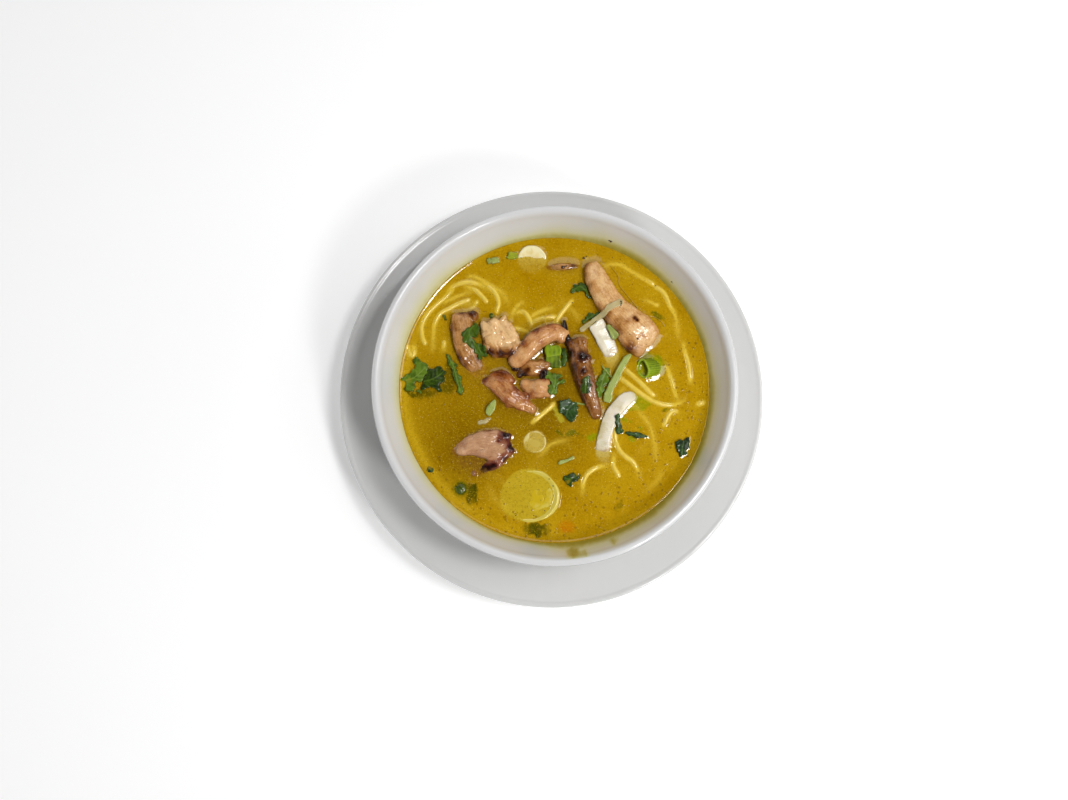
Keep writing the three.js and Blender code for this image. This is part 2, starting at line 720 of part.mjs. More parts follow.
// A short length of spring onion leaf, hollow and a little flattened. Its slantwise open end
// stands out of the broth, and the rest dips under the surface.
// Clearance makes it thicker all round, as the room that it needs in the broth.
function springOnionTube(clearance = 0) {
  const halfWidth = 4.6;
  const halfHeight = 3.1;
  const wall = 1;
  const length = 9.5;
  const slant = 0.3;
  const dip = THREE.MathUtils.degToRad(32);
  const heading = THREE.MathUtils.degToRad(14);
  const segments = 14;
  const openEnd = [41, 8, SOUP_LEVEL + 2.1];
  const ring = (inset) => {
    const curve = new THREE.EllipseCurve(0, 0, halfWidth - inset, halfHeight - inset);
    return curve.getPoints(segments).slice(0, -1);
  };
  const section = new THREE.Shape(ring(-clearance));
  section.holes.push(new THREE.Path(ring(wall + clearance)));
  const depth = length + 2 * clearance;
  const tube = new THREE.ExtrudeGeometry(section, { depth, steps: 1, bevelEnabled: false });
  moveVertices(tube, (vertex) => {
    if (vertex.z < depth / 2) vertex.z += slant * vertex.y;
    vertex.z -= clearance;
  });
  tube.rotateY(Math.PI / 2);
  tube.rotateX(Math.PI / 2);
  tube.rotateY(dip);
  tube.rotateZ(heading);
  tube.translate(...openEnd);
  return tube;
}

// A squarish cut of spring onion leaf, creased along its middle.
function springOnionQuad() {
  const crease = 1;
  const surface = welded(new THREE.PlaneGeometry(7, 9.6, 2, 2));
  moveVertices(surface, (vertex) => {
    vertex.z = crease * (1 - Math.abs(vertex.y) / 4.8);
  });
  const quad = thickened(surface, 1.2);
  quad.rotateX(THREE.MathUtils.degToRad(20));
  quad.rotateZ(THREE.MathUtils.degToRad(9));
  quad.translate(-0.3, 13.9, 45.6);
  return quad;
}

function peaGeometry() {
  const radius = 3.85;
  const pea = new THREE.SphereGeometry(radius, 10, 7);
  pea.translate(-42.8, -47.5, SOUP_LEVEL + 0.9 - radius);
  return pea;
}

// Assembly

const soupBowl = new THREE.Group();
const bowlAndContents = new THREE.Group();
soupBowl.name = 'chicken_noodle_soup_on_underplate';
soupBowl.add(bowlAndContents);
const meshes = new Map();

function addPiece(name, geometry, material, group = bowlAndContents) {
  const mesh = new THREE.Mesh(geometry, material);
  mesh.name = name;
  mesh.geometry.computeVertexNormals();
  meshes.set(name, mesh);
  group.add(mesh);
}

function named(names) {
  return names.map((name) => meshes.get(name));
}

// The geometry less the room that its settled neighbours need round them.
function clearOf(geometry, names) {
  return without(geometry, named(names).map((mesh) => grown(mesh.geometry)));
}

addPiece('underplate', plateGeometry(), PORCELAIN, soupBowl);
addPiece('bowl', bowlGeometry(), PORCELAIN);

const BROWNED = ['chicken_dark_strip', 'chicken_hook', 'chicken_sliver'];
const BRANCHES = { chicken_hook: HOOK_TIP, chicken_dark_strip: DARK_STRIP_TIP };
const chickenNames = [];
Object.entries(CHICKEN_PIECES).forEach(([name, sizes]) => {
  const material = BROWNED.includes(name) ? BROWNED_CHICKEN : CHICKEN;
  const branch = BRANCHES[name];
  const whole = branch ? fused([chickenGeometry(sizes), chickenGeometry(branch)]) : chickenGeometry(sizes);
  addPiece(name, clearOf(whole, chickenNames), material);
  chickenNames.push(name);
});

Object.entries(SLICES).forEach(([name, sizes]) => addPiece(name, sliceGeometry(sizes), ONION));
addPiece('pea', peaGeometry(), PEA);
addPiece('spring_onion_tube', clearOf(springOnionTube(), chickenNames), SPRING_ONION);
addPiece('spring_onion_quad', clearOf(springOnionQuad(), chickenNames), SPRING_ONION);

const settled = [...chickenNames, 'spring_onion_tube', 'spring_onion_quad', ...Object.keys(SLICES)];
Object.entries(STRIPS).forEach(([name, sizes]) => {
  const material = name.startsWith('cabbage') ? CABBAGE : LIGHT_LEAF;
  addPiece(name, clearOf(stripGeometry(sizes), settled), material);
  settled.push(name);
});
Object.entries(LEAVES).forEach(([name, sizes]) => {
  const carriers = named(sizes.carriers ?? []);
  addPiece(name, clearOf(leafGeometry(sizes, carriers), settled), DARK_LEAF);
  settled.push(name);
});
const filmCarriers = ['cabbage_upper', 'chicken_long_strip', 'coriander_under_film', 'green_beside_cabbage'];
addPiece('onion_film', clearOf(filmGeometry(named(filmCarriers)), settled), ONION);
settled.push('onion_film', 'pea');

const strands = [...UPPER_LEFT_STRANDS, ...TOP_STRANDS, ...RIGHT_STRANDS, ...LOWER_STRANDS];
const noodles = fused([heapGeometry(), ...strands.map(strandGeometry)]);
addPiece('noodles', clearOf(noodles, settled), NOODLE);

const noodleRoom = [grown(heapGeometry()), ...strands.map(strandRoomGeometry)];
const solidPieces = settled.filter((name) => name !== 'spring_onion_tube');
const pieceRoom = named(solidPieces).map((mesh) => grown(mesh.geometry));
const rooms = [...noodleRoom, ...pieceRoom, springOnionTube(CORNER_GAP)];
addPiece('broth', without(brothGeometry(), rooms), BROTH);

bowlAndContents.position.set(...BOWL_SHIFT, 0);

export default soupBowl;
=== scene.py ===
"""Looks of a bowl of chicken noodle soup that stands on its underplate.

Pieces are modelled in millimetres, measured from the bowl's own axis and from the table.
Workshop.settle turns them into metres in the part's frame, and dresses them.
"""

import logging
import math
from collections.abc import Callable, Iterator
from contextlib import contextmanager
from dataclasses import dataclass, field
from enum import Enum

import bpy
import numpy as np
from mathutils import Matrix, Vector, kdtree, noise
from mathutils.bvhtree import BVHTree


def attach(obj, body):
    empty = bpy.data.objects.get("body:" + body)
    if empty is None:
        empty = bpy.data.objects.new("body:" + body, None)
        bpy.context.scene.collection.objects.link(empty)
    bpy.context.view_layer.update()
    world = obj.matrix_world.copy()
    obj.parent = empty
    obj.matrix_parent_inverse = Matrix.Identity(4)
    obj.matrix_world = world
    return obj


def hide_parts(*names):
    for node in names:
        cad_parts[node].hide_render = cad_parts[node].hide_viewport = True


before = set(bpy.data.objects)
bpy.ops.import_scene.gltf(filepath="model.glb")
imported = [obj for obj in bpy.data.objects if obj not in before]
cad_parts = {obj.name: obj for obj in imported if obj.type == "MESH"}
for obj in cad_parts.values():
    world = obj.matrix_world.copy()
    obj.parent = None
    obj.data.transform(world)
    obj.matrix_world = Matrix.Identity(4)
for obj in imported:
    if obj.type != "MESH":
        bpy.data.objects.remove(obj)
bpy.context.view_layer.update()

LOG = logging.getLogger("soup")
MM = 0.001
BOWL_AXIS = (0.9, -1.6)
SOUP_LEVEL = 43.0
BOWL_TOP = 59.0
WELL_HEIGHT = 7.0
FAR_UP = 99.0
FAR_DOWN = -99.0
Point = tuple[float, ...]
Path = tuple[Point, ...]
Colour = tuple[float, float, float]
Socket = bpy.types.NodeSocket
Value = Socket | Colour | float


def srgb(red: int, green: int, blue: int) -> Colour:
    """Linear colour of a screen colour given as 0 to 255."""
    parts = [value / 255 for value in (red, green, blue)]
    return tuple(v / 12.92 if v <= 0.04045 else ((v + 0.055) / 1.055) ** 2.4 for v in parts)


SOUP_TINT = srgb(170, 130, 10)
DARK_TINT = srgb(124, 84, 16)


class Relief(Enum):
    """The low relief that a thin sheet carries, and its height in millimetres."""

    PLAIN = 0.0
    VEINS = -0.14
    RIBS = 0.1
    FLUTES = 0.09


VEIN_SPACING = 2.3
RIB_SPACING = 1.05
FLUTE_SPACING = 0.75


# Curves and fields


def smooth_path(points: Path, count: int, closed: bool = False) -> np.ndarray:
    """Sample a curve that runs through all the points.

    Args:
        points: Corners of the path, of any dimension.
        count: How many samples to give back.
        closed: Whether the last point joins the first.

    Returns:
        An array with one row for each sample, evenly spaced along the curve.
    """
    corners = np.array(points, float)
    if closed:
        corners = np.vstack([corners[-1], corners, corners[:2]])
    else:
        corners = np.vstack([2 * corners[0] - corners[1], corners, 2 * corners[-1] - corners[-2]])
    fine = []
    for a, b, c, d in zip(corners, corners[1:], corners[2:], corners[3:]):
        t = np.linspace(0, 1, 24, endpoint=False)[:, None]
        fine.append(0.5 * (2 * b + (c - a) * t + (2 * a - 5 * b + 4 * c - d) * t**2
                           + (3 * b - a - 3 * c + d) * t**3))
    fine = np.vstack(fine + [corners[-2][None]])
    lengths = np.concatenate([[0], np.cumsum(np.linalg.norm(np.diff(fine, axis=0), axis=1))])
    wanted = np.linspace(0, lengths[-1], count, endpoint=not closed)
    return np.stack([np.interp(wanted, lengths, column) for column in fine.T], axis=1)


def bezier(start: Point, first: Point, second: Point, end: Point, count: int) -> list[Point]:
    """Points on a cubic curve given by its ends and its two handles.

    Args:
        start: Its first end.
        first: The handle of the first end.
        second: The handle of the other end.
        end: Its other end.
        count: How many points to give back.

    Returns:
        The points, ends included.
    """
    t = np.linspace(0, 1, count)[:, None]
    a, b, c, d = (np.array(point, float) for point in (start, first, second, end))
    curve = a * (1 - t)**3 + 3 * b * t * (1 - t)**2 + 3 * c * t**2 * (1 - t) + d * t**3
    return [tuple(point) for point in curve]


def along(values: Point, shares: np.ndarray) -> np.ndarray:
    """Values that run evenly along a length, read at shares of it from 0 to 1."""
    return np.interp(shares, np.linspace(0, 1, len(values)), values)


def nearest(points: np.ndarray, path: np.ndarray) -> tuple[np.ndarray, np.ndarray, np.ndarray]:
    """Find where points lie beside a path, seen from above.

    Args:
        points: Rows of x and y.
        path: Rows of x and y, and more if wanted.

    Returns:
        The share of the path's length, the signed distance from it, and the path's rows there.
    """
    best = np.full(len(points), np.inf)
    share, side = np.zeros(len(points)), np.zeros(len(points))
    row = np.zeros((len(points), path.shape[1]))
    total = len(path) - 1
    for i, (a, b) in enumerate(zip(path, path[1:])):
        run = b[:2] - a[:2]
        t = np.clip((points - a[:2]) @ run / max(run @ run, 1e-9), 0, 1)
        gap = points - (a[:2] + t[:, None] * run)
        distance = np.hypot(*gap.T)
        closer = distance < best
        best[closer] = distance[closer]
        share[closer] = (i + t[closer]) / total
        turn = run[0] * gap[:, 1] - run[1] * gap[:, 0]
        side[closer] = (distance * np.sign(turn))[closer]
        row[closer] = (a + t[:, None] * (b - a))[closer]
    return share, side, row


def inside(points: np.ndarray, outline: np.ndarray) -> np.ndarray:
    """Whether each point lies inside a closed outline.

    Args:
        points: Rows of x and y.
        outline: Rows of x and y, in order.

    Returns:
        True or false for each point.
    """
    x, y = points[:, 0], points[:, 1]
    within = np.zeros(len(points), bool)
    for (ax, ay), (bx, by) in zip(outline, np.roll(outline, -1, axis=0)):
        if ay == by:
            continue
        crosses = ((ay > y) != (by > y)) & (x < (bx - ax) * (y - ay) / (by - ay) + ax)
        within ^= crosses
    return within


def length_of(path: np.ndarray) -> float:
    """Length of a path given as rows of places."""
    return np.linalg.norm(np.diff(path, axis=0), axis=1).sum()


def from_axis(points: np.ndarray, x: float = 0, y: float = 0) -> np.ndarray:
    """Distance of each point from the upright line through a place."""
    return np.hypot(points[:, 0] - x, points[:, 1] - y)


def blended(colours: np.ndarray, colour: Colour, share: np.ndarray | float) -> np.ndarray:
    """A field of colours, moved towards one colour by a share at each place."""
    return colours * (1 - share) + np.array(colour) * share


def rough(points: np.ndarray, scale: Point | float, seed: float) -> np.ndarray:
    """Smooth noise from -1 to 1 at each point, with features of the given size.

    Args:
        points: Rows of x, y and z.
        scale: Size of a feature, or one for each direction.
        seed: Picks another part of the noise.

    Returns:
        One value for each point.
    """
    size = np.array(scale, float)
    shift = Vector((seed * 7.3, seed * 3.1, seed * 5.7))
    return np.array([noise.noise(Vector(point / size) + shift) for point in points])


# Work on meshes


def added(primitive: Callable, **settings: object) -> bpy.types.Object:
    """Add a primitive while nothing else is selected, and give it back.

    Args:
        primitive: The operator that adds it.
        settings: The operator's own settings.

    Returns:
        The new object.
    """
    bpy.ops.object.select_all(action="DESELECT")
    primitive(**settings)
    return bpy.context.active_object


def activate(piece: bpy.types.Object) -> None:
    """Select one piece alone.

    Args:
        piece: The mesh to work on.
    """
    bpy.ops.object.select_all(action="DESELECT")
    bpy.context.view_layer.objects.active = piece
    piece.select_set(True)


@contextmanager
def editing(kind: str = "VERT") -> Iterator[None]:
    """Work on the active piece's mesh in edit mode, choosing points or edges.

    Args:
        kind: VERT for points or EDGE for edges.
    """
    bpy.ops.object.mode_set(mode="EDIT")
    bpy.ops.mesh.select_mode(type=kind)
    yield
    bpy.ops.object.mode_set(mode="OBJECT")


def choose(piece: bpy.types.Object, chosen: np.ndarray | None = None) -> None:
    """Select only the points that are marked true, or none.

    Args:
        piece: The mesh to select on.
        chosen: True or false for each point.
    """
    mesh = piece.data
    for part in (mesh.polygons, mesh.edges):
        part.foreach_set("select", [False] * len(part))
    mesh.vertices.foreach_set("select", np.zeros(len(mesh.vertices), bool) if chosen is None else chosen)


def points_of(piece: bpy.types.Object) -> np.ndarray:
    """The piece's points, one row each.

    Args:
        piece: The mesh to work on.

    Returns:
        Rows of x, y and z.
    """
    flat = np.empty(len(piece.data.vertices) * 3)
    piece.data.vertices.foreach_get("co", flat)
    return flat.reshape(-1, 3)


def put_points(piece: bpy.types.Object, points: np.ndarray) -> None:
    """Move the piece's points to the given rows."""
    piece.data.vertices.foreach_set("co", np.asarray(points, float).ravel())
    piece.data.update()


def finish_modifier(piece: bpy.types.Object, kind: str, **settings: object) -> None:
    """Add a modifier with its settings and apply it.

    Args:
        piece: The mesh to work on.
        kind: The modifier's type.
        settings: Its settings, by name.
    """
    activate(piece)
    modifier = piece.modifiers.new(kind, kind)
    for name, value in settings.items():
        setattr(modifier, name, value)
    bpy.ops.object.modifier_apply(modifier=modifier.name)


def tidy_normals(piece: bpy.types.Object) -> None:
    """Merge doubles and turn all faces outward.

    Args:
        piece: The mesh to work on.
    """
    activate(piece)
    with editing():
        bpy.ops.mesh.select_all(action="SELECT")
        bpy.ops.mesh.remove_doubles(threshold=1e-4)
        bpy.ops.mesh.dissolve_degenerate(threshold=1e-5)
        bpy.ops.mesh.normals_make_consistent(inside=False)


def joined(name: str, pieces: list[bpy.types.Object]) -> bpy.types.Object:
    """Join several pieces to one mesh with the given name.

    Args:
        name: Name of the piece and of its mesh.
        pieces: What to join; the first takes in the others.

    Returns:
        The joined piece.
    """
    activate(pieces[0])
    for piece in pieces:
        piece.select_set(True)
    if len(pieces) > 1:
        bpy.ops.object.join()
    pieces[0].name = name
    pieces[0].data.name = name
    return pieces[0]


def write_mask(piece: bpy.types.Object, name: str, values: np.ndarray | float) -> None:
    """Store one value for each point, for the finish to read."""
    mask = piece.data.attributes.new(name, "FLOAT", "POINT")
    mask.data.foreach_set("value", np.full(len(mask.data), values, np.float32))


def spun(name: str, profile: list[Point], steps: int) -> bpy.types.Object:
    """Turn a profile of radius and height, from axis to axis, round the vertical.

    Args:
        name: The piece's name.
        profile: Rows of radius and height; the first and last lie on the axis.
        steps: How many steps go round.

    Returns:
        The closed piece.
    """
    count = len(profile)
    piece = added(bpy.ops.mesh.primitive_circle_add, vertices=count, radius=10, fill_type="NOTHING")
    put_points(piece, [(radius, 0, height) for radius, height in profile])
    choose(piece)
    for edge in piece.data.edges:
        edge.select = set(edge.vertices) == {0, count - 1}
    with editing("EDGE"):
        bpy.ops.mesh.delete(type="EDGE")
    with editing():
        bpy.ops.mesh.select_all(action="SELECT")
        bpy.ops.mesh.spin(steps=steps, angle=2 * math.pi, center=(0, 0, 0), axis=(0, 0, 1))
    tidy_normals(piece)
    return joined(name, [piece])


def sheet_grid(name: str, outline: np.ndarray, spacing: float) -> bpy.types.Object:
    """Cut a flat sheet of small squares to an outline.

    Args:
        name: The piece's name.
        outline: Rows of x and y, closed.
        spacing: The side of a square.

    Returns:
        The sheet, at height 0, with its edge on the outline.
    """
    low, high = outline.min(0) - spacing, outline.max(0) + spacing
    steps = np.ceil((high - low) / spacing).astype(int)
    piece = added(bpy.ops.mesh.primitive_grid_add, x_subdivisions=steps[0], y_subdivisions=steps[1],
                  size=2)
    points = points_of(piece)
    points[:, :2] = low + (points[:, :2] + 1) / 2 * (high - low)
    put_points(piece, points)
    choose(piece, ~inside(points[:, :2], outline))
    with editing():
        bpy.ops.mesh.delete(type="VERT")
        bpy.ops.mesh.select_all(action="DESELECT")
        bpy.ops.mesh.select_loose()
        bpy.ops.mesh.delete(type="VERT")
    points = points_of(piece)
    edge = border(piece)
    points[edge, :2] = nearest(points[edge, :2], np.vstack([outline, outline[:1]]))[2]
    put_points(piece, points)
    return joined(name, [piece])


def edge_pairs(piece: bpy.types.Object) -> np.ndarray:
    """The two point numbers of each edge.

    Args:
        piece: The mesh to work on.

    Returns:
        A row of two numbers for each edge.
    """
    pairs = np.empty(len(piece.data.edges) * 2, int)
    piece.data.edges.foreach_get("vertices", pairs)
    return pairs.reshape(-1, 2)


def border(piece: bpy.types.Object) -> np.ndarray:
    """Numbers of the points on the open edge of a sheet.

    Args:
        piece: The open sheet.

    Returns:
        The numbers, in rising order.
    """
    loops = np.empty(len(piece.data.loops), int)
    piece.data.loops.foreach_get("edge_index", loops)
    single = np.bincount(loops, minlength=len(piece.data.edges)) == 1
    return np.unique(edge_pairs(piece)[single])


def softened(piece: bpy.types.Object, heights: np.ndarray, rounds: int) -> np.ndarray:
    """Heights evened out between neighbouring points.

    Args:
        piece: The mesh whose edges join the neighbours.
        heights: One height for each point.
        rounds: How many times to even out.

    Returns:
        The new heights.
    """
    pairs = edge_pairs(piece)
    for _ in range(rounds):
        total, count = np.zeros(len(heights)), np.zeros(len(heights))
        for a, b in (pairs.T, pairs.T[::-1]):
            np.add.at(total, a, heights[b])
            np.add.at(count, a, 1)
        heights = 0.5 * heights + 0.5 * total / np.maximum(count, 1)
    return heights


# Node trees


class Recipe:
    """A short way to write a material's nodes."""

    def __init__(self, name: str) -> None:
        """Start an empty material with its output node.

        Args:
            name: The material's name.
        """
        self.material = bpy.data.materials.new(name)
        self.material.use_nodes = True
        self.tree = self.material.node_tree
        self.tree.nodes.clear()
        self.output = self.tree.nodes.new("ShaderNodeOutputMaterial")

    def node(self, kind: str, inputs: dict | None = None, out: int | str = 0,
             **settings: object) -> Socket:
        """Add a node and give back one of its outputs.

        Args:
            kind: The node's type, without its ShaderNode prefix.
            inputs: Values or other outputs for its inputs, by name or number.
            out: The output to give back.
            settings: The node's own properties.

        Returns:
            The output socket.
        """
        node = self.tree.nodes.new("ShaderNode" + kind)
        for key, value in settings.items():
            setattr(node, key, value)
        for key, value in (inputs or {}).items():
            if isinstance(value, Socket):
                self.tree.links.new(value, node.inputs[key])
            else:
                node.inputs[key].default_value = value
        return node.outputs[out]

    def place(self, size: Point | float = 1, uv: bool = False) -> Socket:
        """Coordinates in millimetres, or in the piece's own UV map, divided by a feature size.

        Args:
            size: Size of a feature, or one for each direction.
            uv: Whether to read the piece's own UV map.

        Returns:
            The coordinates.
        """
        source = self.node("TexCoord", out="UV" if uv else "Object")
        unit = 1 if uv else MM
        scale = tuple(1 / (unit * float(value)) for value in np.broadcast_to(size, 3))
        return self.node("Mapping", {"Vector": source, "Scale": scale})

    def mask(self, name: str) -> Socket:
        """A value that the piece stores for each point."""
        return self.node("Attribute", out="Fac", attribute_name=name)

    def noise(self, size: Point | float, detail: float = 3, roughness: float = 0.55,
              uv: bool = False) -> Socket:
        """Cloudy noise from 0 to 1, with clouds of the given size."""
        values = {"Vector": self.place(size, uv), "Scale": 1.0, "Detail": detail, "Roughness": roughness}
        return self.node("TexNoise", values, out="Fac")

    def cells(self, size: float) -> Socket:
        """Distance to the nearest of many scattered points, a size apart."""
        return self.node("TexVoronoi", {"Vector": self.place(size), "Scale": 1.0}, out="Distance")

    def ramp(self, value: Value, low: float, high: float, start: float = 0.0, end: float = 1.0) -> Socket:
        """The value, eased from start to end between low and high."""
        numbers = {"Value": value, "From Min": low, "From Max": high, "To Min": start, "To Max": end}
        return self.node("MapRange", numbers, interpolation_type="SMOOTHSTEP")

    def math(self, operation: str, first: Value, second: Value) -> Socket:
        """One sum, product or the like."""
        return self.node("Math", {0: first, 1: second}, operation=operation)

    def mix(self, share: Value, first: Value, second: Value) -> Socket:
        """A colour between two others."""
        first, second = ((*c, 1) if isinstance(c, tuple) else c for c in (first, second))
        return self.node("Mix", {0: share, 6: first, 7: second}, out=2, data_type="RGBA")

    def soak(self, base: Value, clouds: Socket, share: float, reach: float,
             tint: Colour = SOUP_TINT) -> Socket:
        """Let the broth tint what stands just above its surface.

        Args:
            base: The dry colour.
            clouds: Noise that makes the waterline uneven.
            share: How much of the broth's tint shows at its level.
            reach: How far up the tint goes, in millimetres.
            tint: Colour of what is soaked.

        Returns:
            The soaked colour.
        """
        height = self.node("SeparateXYZ", {0: self.place()}, out="Z")
        height = self.math("ADD", height, self.ramp(clouds, 0.3, 0.7, -0.5, 0.5))
        wet = self.ramp(height, SOUP_LEVEL - 0.1, SOUP_LEVEL + reach, share, 0.0)
        return self.mix(wet, base, tint)

    def bump(self, height: Socket, distance: float, strength: float, under: Socket | None = None) -> Socket:
        """A normal tilted by a height; distance is in millimetres.

        Args:
            height: The relief, from 0 to 1.
            distance: Its full height in millimetres.
            strength: How much of it shows.
            under: A coarser relief that it lies on.

        Returns:
            The normal.
        """
        inputs = {"Height": height, "Distance": distance * MM, "Strength": strength}
        if under is not None:
            inputs["Normal"] = under
        return self.node("Bump", inputs, out="Normal")

    def surface(self, colour: Value, roughness: Value, normal: Socket | None = None,
                **values: Value) -> bpy.types.Material:
        """Close the recipe with its surface shader.

        Args:
            colour: Linear colour or a colour output.
            roughness: Value or output.
            normal: Normal output, if any.
            values: Other shader inputs, with underscores for spaces.

        Returns:
            The finished material.
        """
        inputs = {"Base Color": (*colour, 1) if isinstance(colour, tuple) else colour,
                  "Roughness": roughness}
        if normal is not None:
            inputs["Normal"] = normal
        inputs.update({name.replace("_", " "): value for name, value in values.items()})
        shader = self.node("BsdfPrincipled", inputs)
        self.tree.links.new(shader, self.output.inputs["Surface"])
        return self.material


# Finishes


@dataclass(frozen=True)
class Porcelain:
    """White glaze, with a yellow stain and painted shade where the stain mask says so, and a painted shadow
    line where the lip mask says so.
    """

    name: str
    white: Colour = (0.70, 0.70, 0.70)
    thin: Colour = srgb(204, 198, 82)
    # The thick tone is partly a thick stain and partly painted shade on the shadowed right of the inner
    # wall.
    thick_and_shaded: Colour = srgb(150, 134, 30)
    wear: Colour = (0.62, 0.60, 0.56)

    def material(self) -> bpy.types.Material:
        """Build the glaze.

        Returns:
            The finished material.
        """
        r = Recipe(self.name)
        clouds = r.noise(26, detail=4)
        grain = r.noise(1.3, detail=2)
        base = r.mix(r.ramp(clouds, 0.5, 0.78, 0.0, 0.16), self.white, self.wear)
        base = r.mix(r.ramp(grain, 0.62, 0.8, 0.0, 0.06), base, self.wear)
        runs = r.noise((2.4, 2.4, 9))
        stain_and_shade = r.math("MULTIPLY", r.mask("stain_and_shade"), r.ramp(runs, 0.25, 0.6, 0.94, 1.02))
        # The stain mask is a real stain and also painted shade: it is strongest on the shadowed right of the
        # inner wall.
        base = r.mix(stain_and_shade, base, self.thin)
        base = r.mix(r.ramp(stain_and_shade, 0.45, 1.0, 0.0, 0.9), base, self.thick_and_shaded)
        # Painted shadow: a thin dark line on the bowl's outermost lip, where the rim's underside meets the
        # plate in shade.
        base = r.mix(r.math("MULTIPLY", r.mask("lip"), 0.5), base, (0.12, 0.12, 0.11))
        gloss = r.ramp(clouds, 0.3, 0.8, 0.14, 0.24)
        normal = r.bump(grain, 0.02, 0.25)
        return r.surface(base, gloss, normal, Specular_IOR_Level=0.5, Coat_Weight=0.3,
                         Coat_Roughness=0.08)


@dataclass(frozen=True)
class BrothFinish:
    """Cloudy broth that carries the colours of what lies under it."""

    name: str = "broth_liquid"
    speck: Colour = srgb(58, 38, 4)
    fat: Colour = srgb(206, 170, 30)
    painted_glint: Colour = srgb(250, 236, 150)
    oil: Colour = srgb(112, 76, 0)

    def material(self) -> bpy.types.Material:
        """Build the liquid: tint from the mesh, grains, specks, oil drops, painted glints and a wet gloss.

        Returns:
            The finished material.
        """
        r = Recipe(self.name)
        tint = r.node("Attribute", out="Color", attribute_name="tint")
        grains = r.noise(0.42, detail=2)
        clouds = r.noise(6, detail=4)
        veils = r.noise(1.6, detail=4)
        base = r.mix(r.ramp(grains, 0.55, 0.72, 0.0, 0.3), tint, self.fat)
        base = r.mix(r.ramp(grains, 0.45, 0.3, 0.0, 0.34), base, self.oil)
        base = r.mix(r.ramp(veils, 0.5, 0.7, 0.0, 0.22), base, self.oil)
        grit = r.noise(1.0, detail=4, roughness=0.7)
        base = r.mix(r.ramp(grit, 0.52, 0.68, 0.0, 0.5), base, self.fat)
        base = r.mix(r.ramp(grit, 0.46, 0.32, 0.0, 0.35), base, self.oil)
        motes = r.cells(0.7)
        motes = r.math("SUBTRACT", motes, r.ramp(veils, 0.35, 0.7, -0.05, 0.08))
        base = r.mix(r.ramp(motes, 0.05, 0.0, 0.0, 0.7), base, self.speck)
        sizes = r.noise(2.2, detail=1)
        flecks = r.math("SUBTRACT", r.cells(1.5),
                        r.ramp(sizes, 0.4, 0.75, -0.02, 0.12))
        base = r.mix(r.ramp(flecks, 0.05, 0.0, 0.0, 0.9), base, self.speck)
        drops = r.cells(2.7)
        drop = r.math("MULTIPLY", r.ramp(drops, 0.24, 0.2), r.mask("oil"))
        base = r.mix(r.math("MULTIPLY", drop, 0.5), base, self.oil)
        # Painted highlights: tiny bright dots that stand in for glints on fat droplets.
        glint_dots = r.ramp(r.cells(0.9), 0.14, 0.09)
        glint_dots = r.math("MULTIPLY", glint_dots, r.ramp(clouds, 0.4, 0.55))
        base = r.mix(r.math("MULTIPLY", glint_dots, 0.75), base, self.painted_glint)
        normal = r.bump(grains, 0.02, 0.4)
        normal = r.bump(drop, 0.05, 0.5, under=normal)
        return r.surface(base, 0.05, normal, IOR=1.34, Specular_IOR_Level=1.0)


@dataclass(frozen=True)
class WetFood:
    """A soft, wet piece with two tones, fine grain and a thin shine."""

    name: str
    light: Colour
    dark: Colour
    grain: float = 2.5
    roughness: float = 0.28
    bump: float = 0.08
    subsurface: float = 0.15
    alpha: float = 1.0
    soaked: float = 0.75

    def material(self) -> bpy.types.Material:
        """Build the two tones; the mask named tone moves between them.

        Returns:
            The finished material.
        """
        r = Recipe(self.name)
        clouds = r.noise(self.grain, detail=4)
        share = r.math("ADD", r.mask("tone"), r.ramp(clouds, 0.3, 0.7, -0.35, 0.35))
        base = r.mix(r.ramp(share, 0.0, 1.0), self.light, self.dark)
        base = r.soak(base, clouds, self.soaked, 0.9)
        fine = r.noise(0.35, detail=2)
        gloss = r.ramp(clouds, 0.25, 0.75, self.roughness * 0.7, self.roughness * 1.4)
        normal = r.bump(fine, self.bump, 0.4)
        return r.surface(base, gloss, normal, Subsurface_Weight=self.subsurface,
                         Subsurface_Scale=0.0012, Subsurface_Radius=(1.0, 0.7, 0.35),
                         Coat_Weight=0.4, Coat_Roughness=0.08, Alpha=self.alpha)


BROWNING_STEPS = ((0.0, 0.35), (0.3, 0.75), (0.7, 1.1), (1.1, 1.5))


@dataclass(frozen=True)
class Meat:
    """Fried chicken: fibres along the strip, browned where the mask says so."""

    name: str = "chicken_meat"
    pale: Colour = srgb(234, 192, 136)
    shades: tuple[Colour, ...] = (srgb(202, 148, 88), srgb(146, 92, 36), srgb(82, 36, 8), srgb(32, 11, 4))

    def material(self) -> bpy.types.Material:
        """Build the meat.

        Returns:
            The finished material.
        """
        r = Recipe(self.name)
        fibres = r.noise((6, 0.36, 1), roughness=0.6, uv=True)
        clouds = r.noise(3.4, detail=4)
        lumps = r.noise(1.5)
        fine = r.noise(0.4)
        crust = r.math("ADD", r.mask("brown"), r.ramp(clouds, 0.25, 0.75, -0.14, 0.14))
        crust = r.math("ADD", crust, r.ramp(fibres, 0.3, 0.7, 0.1, -0.1))
        crust = r.math("ADD", crust, r.ramp(fine, 0.25, 0.75, -0.1, 0.1))
        base = self.pale
        for (low, high), colour in zip(BROWNING_STEPS, self.shades):
            base = r.mix(r.ramp(crust, low, high), base, colour)
        base = r.soak(base, clouds, 0.75, 1.5, DARK_TINT)
        gloss = r.ramp(lumps, 0.35, 0.65, 0.16, 0.45)
        normal = r.bump(lumps, 0.35, 0.5)
        normal = r.bump(fibres, 0.14, 0.5, under=normal)
        normal = r.bump(fine, 0.05, 0.5, under=normal)
        return r.surface(base, gloss, normal, Subsurface_Weight=0.08, Subsurface_Scale=0.001,
                         Subsurface_Radius=(1.0, 0.5, 0.25), Specular_IOR_Level=0.2, Coat_Weight=0.6,
                         Coat_Roughness=0.05)


